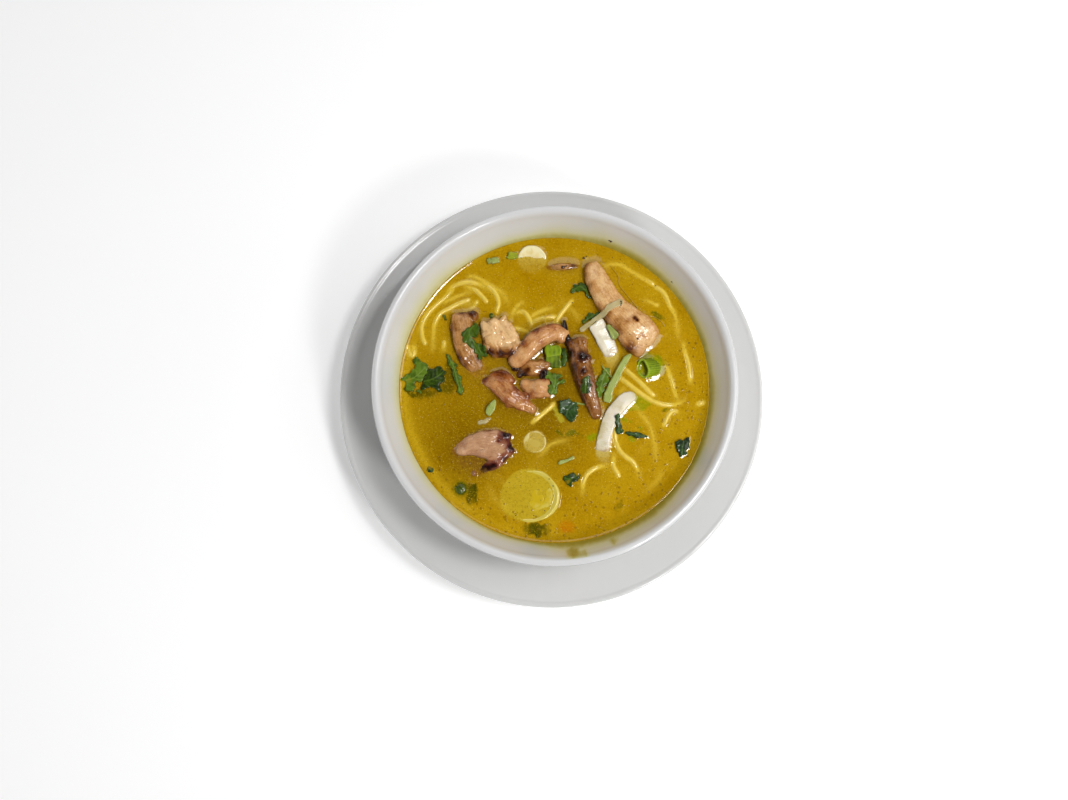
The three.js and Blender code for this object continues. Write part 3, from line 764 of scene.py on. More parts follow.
@dataclass(frozen=True)
class LeafFinish:
    """A herb leaf: green with paler veins."""

    name: str
    green: Colour
    dark: Colour
    vein: Colour = srgb(122, 150, 60)

    def material(self) -> bpy.types.Material:
        """Build the leaf.

        Returns:
            The finished material.
        """
        r = Recipe(self.name)
        clouds = r.noise(3, detail=4)
        fine = r.noise(0.5)
        share = r.math("ADD", r.mask("tone"), r.ramp(clouds, 0.3, 0.7, -0.3, 0.3))
        base = r.mix(r.ramp(share, 0, 1), self.green, self.dark)
        base = r.mix(r.ramp(fine, 0.55, 0.8, 0, 0.25), base, self.vein)
        base = r.mix(r.math("MULTIPLY", r.mask("vein"), 0.55), base, self.vein)
        base = r.soak(base, clouds, 0.55, 0.5)
        normal = r.bump(fine, 0.08, 0.5)
        return r.surface(base, r.ramp(clouds, 0.3, 0.7, 0.3, 0.5), normal, Specular_IOR_Level=0.15,
                         Coat_Weight=0.3, Coat_Roughness=0.06)


@dataclass(frozen=True)
class Backdrop:
    """Pale, matte ground under the object."""

    name: str = "pale_ground"
    white: Colour = (0.98, 0.98, 0.98)

    def material(self) -> bpy.types.Material:
        """Build the ground.

        Returns:
            The finished material.
        """
        r = Recipe(self.name)
        base = r.mix(r.noise(180), self.white, (0.96, 0.96, 0.96))
        return r.surface(base, 0.9, Emission_Color=(1, 1, 1, 1), Emission_Strength=0.22)


# The workshop: what is built so far, and what the broth shows of it


@dataclass
class Glow:
    """How a piece shows through the broth above it, and how wide its halo tints the broth round it: partly
    sunk meat and partly painted shade beside the piece.
    """

    colour: Colour
    depth: float = 1.5
    strength: float = 1.0
    sunk_and_shade_halo: float = 0.0
    halo_reach: float = 2.2
    sunk_and_shade_colour: Colour = srgb(128, 92, 24)


@dataclass
class Layer:
    """One settled piece, ready to be looked down on."""

    name: str
    tree: BVHTree
    low: np.ndarray
    high: np.ndarray
    glow: Glow | None
    meniscus: float


@dataclass
class Workshop:
    """Keeps the settled pieces and dresses new ones."""

    layers: list[Layer] = field(default_factory=list)
    finishes: dict[str, bpy.types.Material] = field(default_factory=dict)

    def top(self, x: float, y: float, names: tuple[str, ...] = ()) -> float:
        """Height of the highest settled piece at a place, at least the soup's level.

        Args:
            x: Place to the right.
            y: Place away from the diner.
            names: The pieces that count, or none for all.

        Returns:
            The height in millimetres.
        """
        best = SOUP_LEVEL
        for layer in self.layers:
            if names and layer.name not in names:
                continue
            if layer.low[0] <= x <= layer.high[0] and layer.low[1] <= y <= layer.high[1]:
                hit = layer.tree.ray_cast(Vector((x, y, 100)), Vector((0, 0, -1)))[0]
                if hit and hit.z > best:
                    best = hit.z
        return best

    def dress(self, piece: bpy.types.Object, finish: object) -> None:
        """Give the piece its finish as its only material.

        Args:
            piece: The piece to dress.
            finish: The finish, which is built once and then shared.
        """
        if finish.name not in self.finishes:
            self.finishes[finish.name] = finish.material()
        piece.data.materials.clear()
        piece.data.materials.append(self.finishes[finish.name])

    def settle(self, piece: bpy.types.Object, finish: object, nodes: tuple[str, ...] = (),
               glow: Glow | None = None, meniscus: float = 0.0, axis: Point = BOWL_AXIS) -> None:
        """Dress a finished piece and put it in the part's frame.

        Args:
            piece: The piece, in millimetres.
            finish: Its finish.
            nodes: The solids that it replaces.
            glow: How it shows through the broth, if it reaches under it.
            meniscus: How high the broth climbs at it, in millimetres.
            axis: Where its own middle stands on the plate.
        """
        points = points_of(piece)
        if glow or meniscus:
            faces = [tuple(polygon.vertices) for polygon in piece.data.polygons]
            tree = BVHTree.FromPolygons([tuple(p) for p in points], faces)
            layer = Layer(piece.name, tree, points.min(0), points.max(0), glow, meniscus)
            self.layers.append(layer)
        points[:, :2] += axis
        put_points(piece, points * MM)
        activate(piece)
        bpy.ops.object.shade_smooth()
        self.dress(piece, finish)
        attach(piece, "root")
        if nodes:
            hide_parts(*nodes)
        LOG.info("%s: %d faces", piece.name, len(piece.data.polygons))


# Dishes


@dataclass
class Underplate:
    """The round plate under the bowl."""

    radius: float = 103.0
    height: float = 22.0
    well_radius: float = 50.0
    thickness: float = 4.2
    foot_radius: float = 62.0
    steps: int = 192

    def profile(self) -> list[Point]:
        """Radius and height from the middle underneath, round the lip, to the middle on top.

        Returns:
            Rows of radius and height.
        """
        under = WELL_HEIGHT - self.thickness
        rim, top = self.radius, self.height
        slope_under = bezier((self.foot_radius + 1.5, 2.5), (rim - 30, 8), (rim - 14, 14.5),
                             (rim - 1.6, top - 2.9), 14)
        lip = bezier((rim - 1.6, top - 2.9), (rim + 0.35, top - 2.1), (rim + 0.1, top + 0.1),
                     (rim - 1.3, top), 9)
        bead = bezier((rim - 1.3, top), (rim - 2.3, top - 0.05), (rim - 2.6, top - 0.65),
                      (rim - 3.4, top - 0.75), 6)
        slope = bezier((rim - 3.4, top - 0.75), (rim - 16, top - 4.2), (self.well_radius + 22, 11.5),
                       (self.well_radius + 8, 8.1), 22)
        well = bezier((self.well_radius + 8, 8.1), (self.well_radius + 4, 7.3),
                      (self.well_radius + 2, WELL_HEIGHT), (self.well_radius, WELL_HEIGHT), 8)
        foot = [(0, under), (20, under), (40, under), (self.foot_radius - 5, under),
                (self.foot_radius - 4.3, 0.4), (self.foot_radius - 3.8, 0),
                (self.foot_radius - 0.4, 0), (self.foot_radius + 0.3, 0.5)]
        flat = [(30, WELL_HEIGHT), (12, WELL_HEIGHT), (0, WELL_HEIGHT)]
        return foot + slope_under + lip[1:] + bead[1:] + slope[1:] + well[1:] + flat

    def build(self, shop: Workshop) -> None:
        """Spin the plate and dress it.

        Args:
            shop: Keeps what is settled and dresses the piece.
        """
        plate = spun("underplate_glazed", self.profile(), self.steps)
        write_mask(plate, "stain_and_shade", 0)
        shop.settle(plate, Porcelain("underplate_glaze", white=(0.70, 0.70, 0.69)),
                    ("underplate",), axis=(0, 0))


# Direction in degrees, strength and reach in millimetres of the yellow band above the broth: a real stain,
# and also painted shade where it is strongest and reaches highest, on the right and lower right, where the
# wall lies in shadow.
STAIN_AND_SHADE = np.array((
    (-180, 0.62, 3.6), (-160, 0.62, 3.6), (-140, 0.58, 3.8), (-120, 0.72, 3.4), (-100, 0.84, 3.4),
    (-80, 1.0, 9), (-60, 1.0, 7.4), (-40, 1.0, 5.4), (-20, 1.0, 5.4), (0, 0.92, 4.8),
    (20, 0.86, 4.4), (40, 0.84, 5.4), (60, 0.92, 5.8), (80, 0.8, 5.4), (100, 0.76, 3.8),
    (120, 0.64, 3), (140, 0.66, 5.4), (160, 0.64, 4.8), (180, 0.62, 3.6)))
# Place, reach and strength of the drips on the wall and the lip.
DRIPS = ((7.9, -76.1, 3.6, 0.9), (12.6, -76.6, 2.6, 0.7), (25.7, -71.2, 2.4, 0.8))


@dataclass
class Bowl:
    """The soup bowl; its inner wall also bounds the broth."""

    radius: float = 82.5
    lip: float = 3.4
    foot_radius: float = 41.0
    foot_height: float = 4.0
    floor_radius: float = 24.0
    floor_height: float = 15.4
    steps: int = 256

    def inner_wall(self, count: int = 64) -> list[Point]:
        """Radius and height of the inner wall, from the floor's edge up to the lip.

        Args:
            count: How many points to give back.

        Returns:
            Rows of radius and height.
        """
        return bezier((self.floor_radius, self.floor_height),
                      (self.floor_radius + 27, self.floor_height),
                      (self.radius - self.lip - 13, BOWL_TOP - 31),
                      (self.radius - self.lip, BOWL_TOP - 0.8), count)

    def wall_radius(self, height: np.ndarray | float) -> np.ndarray:
        """Radius of the inner wall at a height."""
        wall = np.array(self.inner_wall(120))
        return np.interp(height, wall[:, 1], wall[:, 0])

    def profile(self) -> list[Point]:
        """Radius and height from the middle underneath, over the lip, to the middle inside.

        Returns:
            Rows of radius and height.
        """
        foot_top = WELL_HEIGHT + self.foot_height
        foot = [(0, foot_top), (20, foot_top), (self.foot_radius - 5.2, foot_top),
                (self.foot_radius - 4.2, WELL_HEIGHT + 0.5), (self.foot_radius - 3.8, WELL_HEIGHT),
                (self.foot_radius - 0.9, WELL_HEIGHT), (self.foot_radius - 0.3, WELL_HEIGHT + 0.6)]
        outer = bezier((self.foot_radius, foot_top - 1), (self.foot_radius + 20, foot_top + 2),
                       (self.radius - 9, BOWL_TOP - 31), (self.radius, BOWL_TOP - 2), 30)
        lip = bezier(outer[-1], (self.radius + 0.1, BOWL_TOP - 0.7),
                     (self.radius - 0.6, BOWL_TOP), (self.radius - 1.9, BOWL_TOP), 12)
        inner = [point for point in self.inner_wall() if point[1] < BOWL_TOP - 3][::-1]
        inner_lip = bezier(lip[-1], (self.radius - 3.0, BOWL_TOP), (inner[0][0] + 0.62, BOWL_TOP - 1.5),
                           inner[0], 12)
        return foot + outer + lip[1:] + inner_lip[1:] + inner[1:] + [(10, self.floor_height),
                                                                     (0, self.floor_height)]

    def stain_and_shade(self, points: np.ndarray) -> np.ndarray:
        """How yellow and dark the inner wall is: a real stain above the broth, with painted shade where it
        is strongest and highest, on the right and lower right, where the wall lies in shadow; drips are
        added.

        Args:
            points: The bowl's points.

        Returns:
            How yellow each point is, from 0 to 1.
        """
        turn = np.degrees(np.arctan2(points[:, 1], points[:, 0]))
        height = points[:, 2] - SOUP_LEVEL
        powers, reaches = (np.interp(turn, STAIN_AND_SHADE[:, 0], STAIN_AND_SHADE[:, column]) for column in (1, 2))
        reach = reaches * (1 + 0.25 * rough(points, (9, 9, 30), 3))
        fade = np.exp(-(np.maximum(height - 1, 0) / reach)**1.6)
        inner = from_axis(points) < self.wall_radius(points[:, 2]) + 0.5
        stain_and_shade = powers * fade
        for x, y, reach, power in DRIPS:
            near = from_axis(points, x, y) / reach
            stain_and_shade = np.maximum(stain_and_shade, power * np.exp(-near**4))
        return np.where(inner & (height > -4), stain_and_shade, 0)

    def build(self, shop: Workshop) -> None:
        """Spin the bowl and dress it.

        Args:
            shop: Keeps what is settled and dresses the piece.
        """
        bowl = spun("bowl_glazed", self.profile(), self.steps)
        points = points_of(bowl)
        # Painted shadow line on the outermost lip, stored in the lip mask.
        shadow = (from_axis(points) > self.radius - 0.25) & (points[:, 2] > BOWL_TOP - 5)
        write_mask(bowl, "lip", shadow)
        write_mask(bowl, "stain_and_shade", self.stain_and_shade(points))
        shop.settle(bowl, Porcelain("bowl_glaze"), ("bowl",))


# Noodles


@dataclass
class Strand:
    """One noodle, through places given as x, y and the depth of its top under the surface."""

    through: Path
    radius: float = 1.12


SURFACE_STRANDS = (
    Strand(
        ((-41.3, 53, 0.9), (-38, 53.3, 0.4), (-33, 50.8, 0.3), (-29.2, 48.4, 0.3), (-25.6, 46.2, 0.6),
         (-23, 43, 1.1), (-21.1, 38.6, 2.4))),
    Strand(
        ((-50.5, 45, 0.5), (-47.4, 48.4, 0.1), (-43.9, 49.9, -0.2), (-40.1, 50.4, -0.2), (-36.5, 49.6, 0.1),
         (-32.5, 47.7, 0.8), (-29, 45, 2))),
    Strand(
        ((-36, 50.8, 1.2), (-33.3, 50, 0.4), (-29.2, 46.9, -0.1), (-27.1, 44, -0.2), (-26, 40.2, -0.2),
         (-26.7, 37.2, -0.35), (-26.7, 35, 0.8))),
    Strand(((-43, 48.4, 1.6), (-40.9, 48, 0.6), (-37.2, 46.6, 0), (-34.4, 44, -0.2), (-31.3, 40.3, -0.3))),
    Strand(((-53, 39.5, 1.2), (-49.9, 41.3, 0.5), (-45.5, 43.5, 0.4), (-41.2, 45.1, 0.8), (-38, 45.6, 1.8))),
    Strand(
        ((-39.3, 42, -0.1), (-45.2, 39.8, -0.3), (-49, 37.6, -0.3), (-53, 35.4, -0.3), (-55.4, 31.8, -0.1),
         (-56.4, 28, 0.3), (-56.6, 22.2, 0.6), (-56.8, 16.1, 1.6))),
    Strand(
        ((-47.3, 47.4, 0.2), (-50.9, 43.2, 0.1), (-55.2, 39.4, 0), (-58.7, 35.7, -0.1), (-61, 32, 0),
         (-62.2, 28, -0.1), (-61.5, 22.9, -0.25), (-59.9, 19.8, -0.1))),
    Strand(((-50.7, 35, 1.4), (-47.2, 38.6, 0.7), (-40.9, 39.8, 0.9), (-36, 40.8, 1.8))),
    Strand(((-35.7, 41.3, -0.1), (-37.8, 38.6, 0.2), (-39.9, 37.2, 0.6), (-43, 36, 1.6))),
    Strand(((-51.4, 22, -0.3), (-51.5, 20, -0.1), (-51.8, 16.5, 1.6))),
    Strand(
        ((-68, 20, 0.5), (-67.7, 16.4, -0.1), (-66.3, 14.5, -0.25), (-65.4, 16.1, -0.1),
         (-65.6, 20.4, 0.9))),
    Strand(((-21, 31, 1.6), (-19.8, 34.5, 0.8), (-18.5, 37, 0.4), (-16.6, 39.3, 0.5), (-14, 41, 1.5))),
    Strand(
        ((-18.4, 34.6, 0.9), (-16.3, 35.9, 0.2), (-14.4, 35.9, -0.2), (-12.8, 34.5, -0.3),
         (-11.5, 32.3, -0.35), (-10.4, 29.2, -0.3))),
    Strand(((-11.5, 32.6, 0.9), (-9.3, 34.5, 0.3), (-6.5, 35.9, 0.2), (-3.9, 37, 0.4), (0, 38, 1.4))),
    Strand(
        ((-11, 30.4, 0.4), (-8.2, 31.8, -0.1), (-5.6, 32.6, -0.3), (-2.8, 33.1, -0.3), (-0.1, 33.4, 0),
         (3, 33, 1.3))),
    Strand(
        ((0, 30, 0.3), (1.5, 31.8, -0.3), (3.1, 34.5, -0.4), (5.3, 37.3, -0.4), (7.5, 40.1, -0.1),
         (9.3, 42, 0.9))),
    Strand(((-21, 28.6, 0.6), (-19, 28, 0.2), (-16.6, 27.6, 0.1), (-13.8, 26.8, 0.2), (-11, 25.6, 0.8))),
    Strand(
        ((24, 57, 1.6), (25.6, 58.7, 0.7), (31.7, 59, 0.3), (37, 55.6, 0.35), (42.4, 52.3, 0.2),
         (46.2, 50, 0), (48.6, 48, 0.7))),
    Strand(
        ((47.4, 48.4, -0.1), (50.2, 46.8, -0.35), (52.5, 44.3, -0.3), (54.6, 39.3, 0.1), (57.2, 34.2, 0.4),
         (58, 28.2, 0.9), (58.6, 22, 1.9))),
    Strand(((60.6, 21.5, 0.9), (61.1, 17.7, 0.2), (62.5, 11.6, -0.1), (63.4, 4.5, 0.1), (63.4, 1, 1.2))),
    Strand(((52.2, 11, 0.9), (53.3, 7.4, 0.2), (54.8, 2.4, 0.1), (56.7, -4.7, 0.5), (58, -8, 1.6))),
    Strand(((42, 41.8, 1.5), (44.4, 41.1, 0.7), (46.7, 40.1, 0.4), (49.7, 38.7, 0.1)), 1.0),
    Strand(
        ((32, 9.4, 0.6), (34.1, 7.4, -0.2), (38.6, 3.4, -0.4), (41.8, 0.1, -0.45), (45, -3.2, -0.4),
         (46.8, -4.6, -0.25))),
    Strand(
        ((29.6, 5.2, 0.8), (31.8, 3.4, 0), (35.2, 0.7, -0.3), (38.4, -1.9, -0.4), (43.3, -5.5, -0.4),
         (48.1, -7.8, -0.3), (53.3, -8.8, 0.1), (58.1, -8, 0.5), (61, -5.4, 1.4))),
    Strand(((50.4, -19, 0.3), (51.5, -16.2, -0.4), (53, -13.4, -0.3), (55.2, -11.5, 0), (58, -12.3, 0.8))),
    Strand(
        ((39, -11.5, 1.6), (40.3, -13, 0.9), (44.1, -18.3, 0.7), (45.8, -24.1, 0.7), (46.6, -31.3, 1.0),
         (46.2, -36, 2.2))),
    Strand(((66, -9, 0.5), (67, -8.2, 0), (68.4, -7.7, -0.1), (69.8, -7.3, 0.2)), 1.3),
    Strand(
        ((27.6, -19, 0.2), (27.9, -21.7, -0.3), (28.2, -25.5, -0.1), (29.9, -29.8, -0.3), (33, -33, -0.4),
         (36.1, -35.4, -0.3), (38.5, -39.7, 0.8), (39, -43, 2.2))),
    Strand(
        ((27.6, -31, 1.2), (27.2, -34, 0.4), (27, -36.9, -0.2), (28.4, -39.7, -0.4), (29.9, -42.3, -0.35))),
    Strand(
        ((12.6, -51, 1.8), (12.9, -47.7, 0.7), (13.3, -44.2, 0), (15.1, -40.7, -0.3), (17.9, -38.6, -0.2),
         (21.3, -37.2, 0.2), (25, -37, 1.4))),
    Strand(((-8, -33, 1.8), (-4.5, -30.1, 0.9), (-2, -27.3, 0.7), (1.5, -25.9, 0.8), (6, -25, 1.8))),
    Strand(((-11, -17.6, 0.9), (-8.7, -15.7, 0), (-4.7, -12.2, -0.5), (-1.2, -9.2, -0.5), (0.4, -7.4, 0.4))),
    Strand(((4, 42, 2.4), (6, 38, 1.6), (9.6, 36, 1.4), (12, 31, 2.2))),
    Strand(((33, 0, 1.4), (31, -4, 0.8), (34, -8, 0.9), (40, -10.5, 1.8))),
    Strand(((50, -38, 2.0), (47, -44, 1.5), (41, -49, 2.2))),
    Strand(((-30, -46, 2.4), (-27, -52, 1.8), (-20, -58, 2.4))),
)


@dataclass
class Noodles:
    """All noodles as one piece: strands that reach the surface over a heap of strands."""

    core_radius: float = 50.0
    core_top: float = 31.0
    hidden: int = 46
    hidden_radius: float = 1.1
    hidden_points: int = 44
    hidden_places: Point = (-30, 30)
    hidden_sizes: Point = (8, 22)
    hidden_sweeps: Point = (2.2, 4.6)
    hidden_stretches: Point = (0.6, 1.2)
    hidden_heights: Point = (31.5, 38)
    sides: int = 3
    sinking: float = 0.3
    step: float = 0.8
    end_sizes: Point = (0.55, 0.9)

    def core(self, bowl: Bowl) -> bpy.types.Object:
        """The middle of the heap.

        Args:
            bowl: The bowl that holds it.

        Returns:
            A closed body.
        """
        floor = bowl.floor_height + 0.5
        profile = [(0, floor), (bowl.floor_radius, floor), (self.core_radius - 8, floor + 8),
                   (self.core_radius, self.core_top - 4), (self.core_radius - 7, self.core_top - 1),
                   (20, self.core_top), (0, self.core_top)]
        return spun("core", profile, 40)

    def hidden_paths(self) -> list[np.ndarray]:
        """Loops of noodle that lie over the core, deep in the broth.

        Returns:
            One path of x, y and z for each loop.
        """
        random = np.random.default_rng(5)
        paths = []
        for _ in range(self.hidden):
            centre = random.uniform(*self.hidden_places, 2)
            size = random.uniform(*self.hidden_sizes)
            start, sweep = random.uniform(0, 2 * math.pi), random.uniform(*self.hidden_sweeps)
            turn = start + np.linspace(0, sweep, self.hidden_points)
            stretch = random.uniform(*self.hidden_stretches)
            x = centre[0] + size * np.cos(turn)
            y = centre[1] + size * stretch * np.sin(turn)
            reach = np.hypot(x, y)
            squeeze = np.minimum(1, self.core_radius / np.maximum(reach, 1))
            z = random.uniform(*self.hidden_heights) + 1.2 * np.sin(2 * turn + start)
            paths.append(np.stack([x * squeeze, y * squeeze, z], axis=1))
        return paths

    def tubes(self, rows: list[tuple[np.ndarray, float]]) -> bpy.types.Object:
        """Round tubes along the given paths, with drawn-in ends.

        Args:
            rows: A path and a radius for each tube.

        Returns:
            All tubes as one mesh.
        """
        curve = added(bpy.ops.curve.primitive_nurbs_path_add, radius=1).data
        curve.splines.clear()
        curve.dimensions = "3D"
        curve.bevel_depth = 1.0
        curve.bevel_resolution = self.sides
        curve.use_fill_caps = True
        for path, radius in rows:
            spline = curve.splines.new("POLY")
            spline.points.add(len(path) - 1)
            spline.points.foreach_set("co", np.column_stack([path, np.ones(len(path))]).ravel())
            radii = np.full(len(path), radius)
            for place, size in enumerate(self.end_sizes):
                radii[[place, -1 - place]] *= size
            spline.points.foreach_set("radius", radii)
        bpy.ops.object.convert(target="MESH")
        return bpy.context.active_object

    def build(self, shop: Workshop, bowl: Bowl) -> None:
        """Lay all strands, join them with the core and dress them.

        Args:
            shop: Keeps what is settled and dresses the piece.
            bowl: The bowl that holds them.
        """
        rows = []
        for strand in SURFACE_STRANDS:
            nodes = np.array(strand.through, float)
            nodes[:, 2] += np.where(nodes[:, 2] > 0.15, self.sinking, 0)
            nodes[:, 2] = SOUP_LEVEL + 0.4 - strand.radius - nodes[:, 2]
            rows.append((smooth_path(nodes, int(length_of(nodes) / self.step) + 4), strand.radius))
        rows += [(path, self.hidden_radius) for path in self.hidden_paths()]
        piece = joined("noodle_strands", [self.tubes(rows), self.core(bowl)])
        write_mask(piece, "tone", 0.3 + 0.3 * rough(points_of(piece), (9, 9, 9), 8))
        finish = WetFood("noodle", srgb(240, 210, 88), srgb(222, 188, 56), grain=4,
                         roughness=0.2, subsurface=0.15, soaked=0.1)
        shop.settle(piece, finish, ("noodles",), Glow(srgb(234, 200, 66), 1.9, 1.0), 0.2)


# Chicken


SOAKED_TINTS = {"chicken": srgb(196, 136, 40), "browned_chicken": srgb(150, 96, 30)}


@dataclass
class Chicken:
    """One strip of fried chicken: a bent body with lobes, torn fibres and browned places.

    The path gives places as x, y and height. A branch is a further path with its half widths and half
    heights, a lobe is a place with its radius, and a slab is an outline with its low and high face.
    Browning is given as x, y, radius and strength.
    """

    node: str
    path: Path
    half_widths: Point
    half_heights: Point
    slot: str = "chicken"
    branches: tuple[tuple[Path, Point, Point], ...] = ()
    lobes: Path = ()
    browning: Path = ()
    base_brown: float = 0.1
    edge_brown: float = 0.5
    ragged: float = 0.35
    seed: float = 1.0
    bluntness: float = 0.3
    squareness: float = 0.72
    voxel: float = 0.42
    samples: int = 120
    finish: Meat = Meat()
    slabs: tuple[tuple[Path, float, float], ...] = ()

    def body(self, path: Path, half_widths: Point, half_heights: Point) -> bpy.types.Object:
        """A ball drawn out along a path, with its half widths and heights along it.

        Args:
            path: Places along the body's middle.
            half_widths: Half its width along the path.
            half_heights: Half its height along the path.

        Returns:
            A closed body.
        """
        piece = added(bpy.ops.mesh.primitive_uv_sphere_add, segments=24, ring_count=28, radius=1)
        unit = points_of(piece)
        share = (1 - unit[:, 2]) / 2
        ring = from_axis(unit)
        safe = np.maximum(ring, 1e-6)
        spine = smooth_path(path, self.samples)
        tangent = np.gradient(spine, axis=0)
        tangent /= np.linalg.norm(tangent, axis=1)[:, None]
        across = np.cross((0, 0, 1), tangent)
        across /= np.linalg.norm(across, axis=1)[:, None]
        upward = np.cross(tangent, across)
        last = self.samples - 1
        row = np.clip((share * last).astype(int), 0, last)
        spread = ring**self.bluntness
        wide, high = (np.sign(unit[:, column]) * np.abs(unit[:, column] / safe)**self.squareness * spread
                      * along(halves, share) for column, halves in ((0, half_widths), (1, half_heights)))
        put_points(piece, spine[row] + across[row] * wide[:, None] + upward[row] * high[:, None])
        return piece

    def lobe(self, place: Point) -> bpy.types.Object:
        """A rounded lump at x, y, z with its radius, and its height if that differs.

        Args:
            place: Its x, y, z and radius, and its half height if that differs.

        Returns:
            A closed lump.
        """
        x, y, z, radius = place[:4]
        height = place[4] if len(place) > 4 else radius
        piece = added(bpy.ops.mesh.primitive_ico_sphere_add, subdivisions=3, radius=1)
        put_points(piece, points_of(piece) * (radius, radius, height) + (x, y, z))
        return piece

    def slab(self, outline: Path, low: float, high: float) -> bpy.types.Object:
        """A thick cut with the given outline, rounded between its low and its high face.

        Args:
            outline: Its outline seen from above.
            low: Height of its underside.
            high: Height of its top.

        Returns:
            A closed slab.
        """
        piece = added(bpy.ops.mesh.primitive_uv_sphere_add, segments=72, ring_count=28, radius=1)
        unit = points_of(piece)
        line = smooth_path(outline, 240, closed=True)
        centre = line.mean(0)
        turn = np.arctan2(line[:, 1] - centre[1], line[:, 0] - centre[0])
        order = np.argsort(turn)
        reach = from_axis(line, *centre)
        angle = np.arctan2(unit[:, 1], unit[:, 0])
        wide = np.interp(angle, turn[order], reach[order], period=2 * math.pi)
        wide *= from_axis(unit)**0.35
        tall = np.sign(unit[:, 2]) * np.abs(unit[:, 2])**0.8 * (high - low) / 2
        put_points(piece, np.column_stack([centre[0] + wide * np.cos(angle),
                                           centre[1] + wide * np.sin(angle), (low + high) / 2 + tall]))
        return piece

    def formed(self) -> bpy.types.Object:
        """The limbs, lobes and slabs melted into one rounded body.

        Returns:
            The closed body, still smooth.
        """
        limbs = ((self.path, self.half_widths, self.half_heights),) + self.branches
        parts = [self.body(*limb) for limb in limbs] + [self.lobe(place) for place in self.lobes]
        piece = joined(self.node + "_meat", parts + [self.slab(*slab) for slab in self.slabs])
        finish_modifier(piece, "REMESH", mode="VOXEL", voxel_size=self.voxel)
        finish_modifier(piece, "SMOOTH", factor=0.5, iterations=2)
        return piece

    def build(self, shop: Workshop) -> None:
        """Model the strip, tear its fibres, mark its browning and dress it.

        Args:
            shop: Keeps what is settled and dresses the piece.
        """
        piece = self.formed()
        points = points_of(piece)
        spine = smooth_path(self.path, 60)
        share, side, row = nearest(points[:, :2], spine)
        around = np.arctan2(points[:, 2] - row[:, 2], side) * 4
        local = np.column_stack([share * length_of(spine), around, np.zeros(len(points))])
        normals = np.empty(points.size)
        piece.data.vertices.foreach_get("normal", normals)
        lumps = rough(points, 4.6, self.seed)
        fibres = rough(local, (7, 1.3, 1), self.seed + 2)
        tears = np.exp(-(rough(local, (4.2, 2.2, 1), self.seed + 5) / 0.06)**2)
        fine = rough(points, 1.3, self.seed + 9)
        move = self.ragged * (1.1 * lumps + 0.7 * fibres - 0.5 * tears + 0.16 * fine)
        points += normals.reshape(-1, 3) * move[:, None]
        put_points(piece, points)
        edge = np.abs(side) / np.maximum(along(self.half_widths, share), 0.5)
        brown = self.base_brown + self.edge_brown * np.clip(edge - 0.55, 0, 1)
        # Darker in the hollows between lumps and along the torn grooves.
        brown += 0.14 * np.clip(-lumps, 0, 1) + 0.14 * tears + 0.08 * fibres
        for x, y, radius, strength in self.browning:
            brown += strength * np.exp(-(from_axis(points, x, y) / radius)**2 * 1.4)
        write_mask(piece, "brown", brown)
        uv = piece.data.uv_layers.new(name="fibres")
        corners = np.empty(len(piece.data.loops), int)
        piece.data.loops.foreach_get("vertex_index", corners)
        uv.data.foreach_set("uv", local[corners, :2].ravel())
        # The halo darkens the broth round the strip, partly as sunk meat and partly as painted shade.
        glow = Glow(SOAKED_TINTS[self.slot], 1.6, 0.95, sunk_and_shade_halo=0.55)
        shop.settle(piece, self.finish, (self.node,), glow, 0.6)


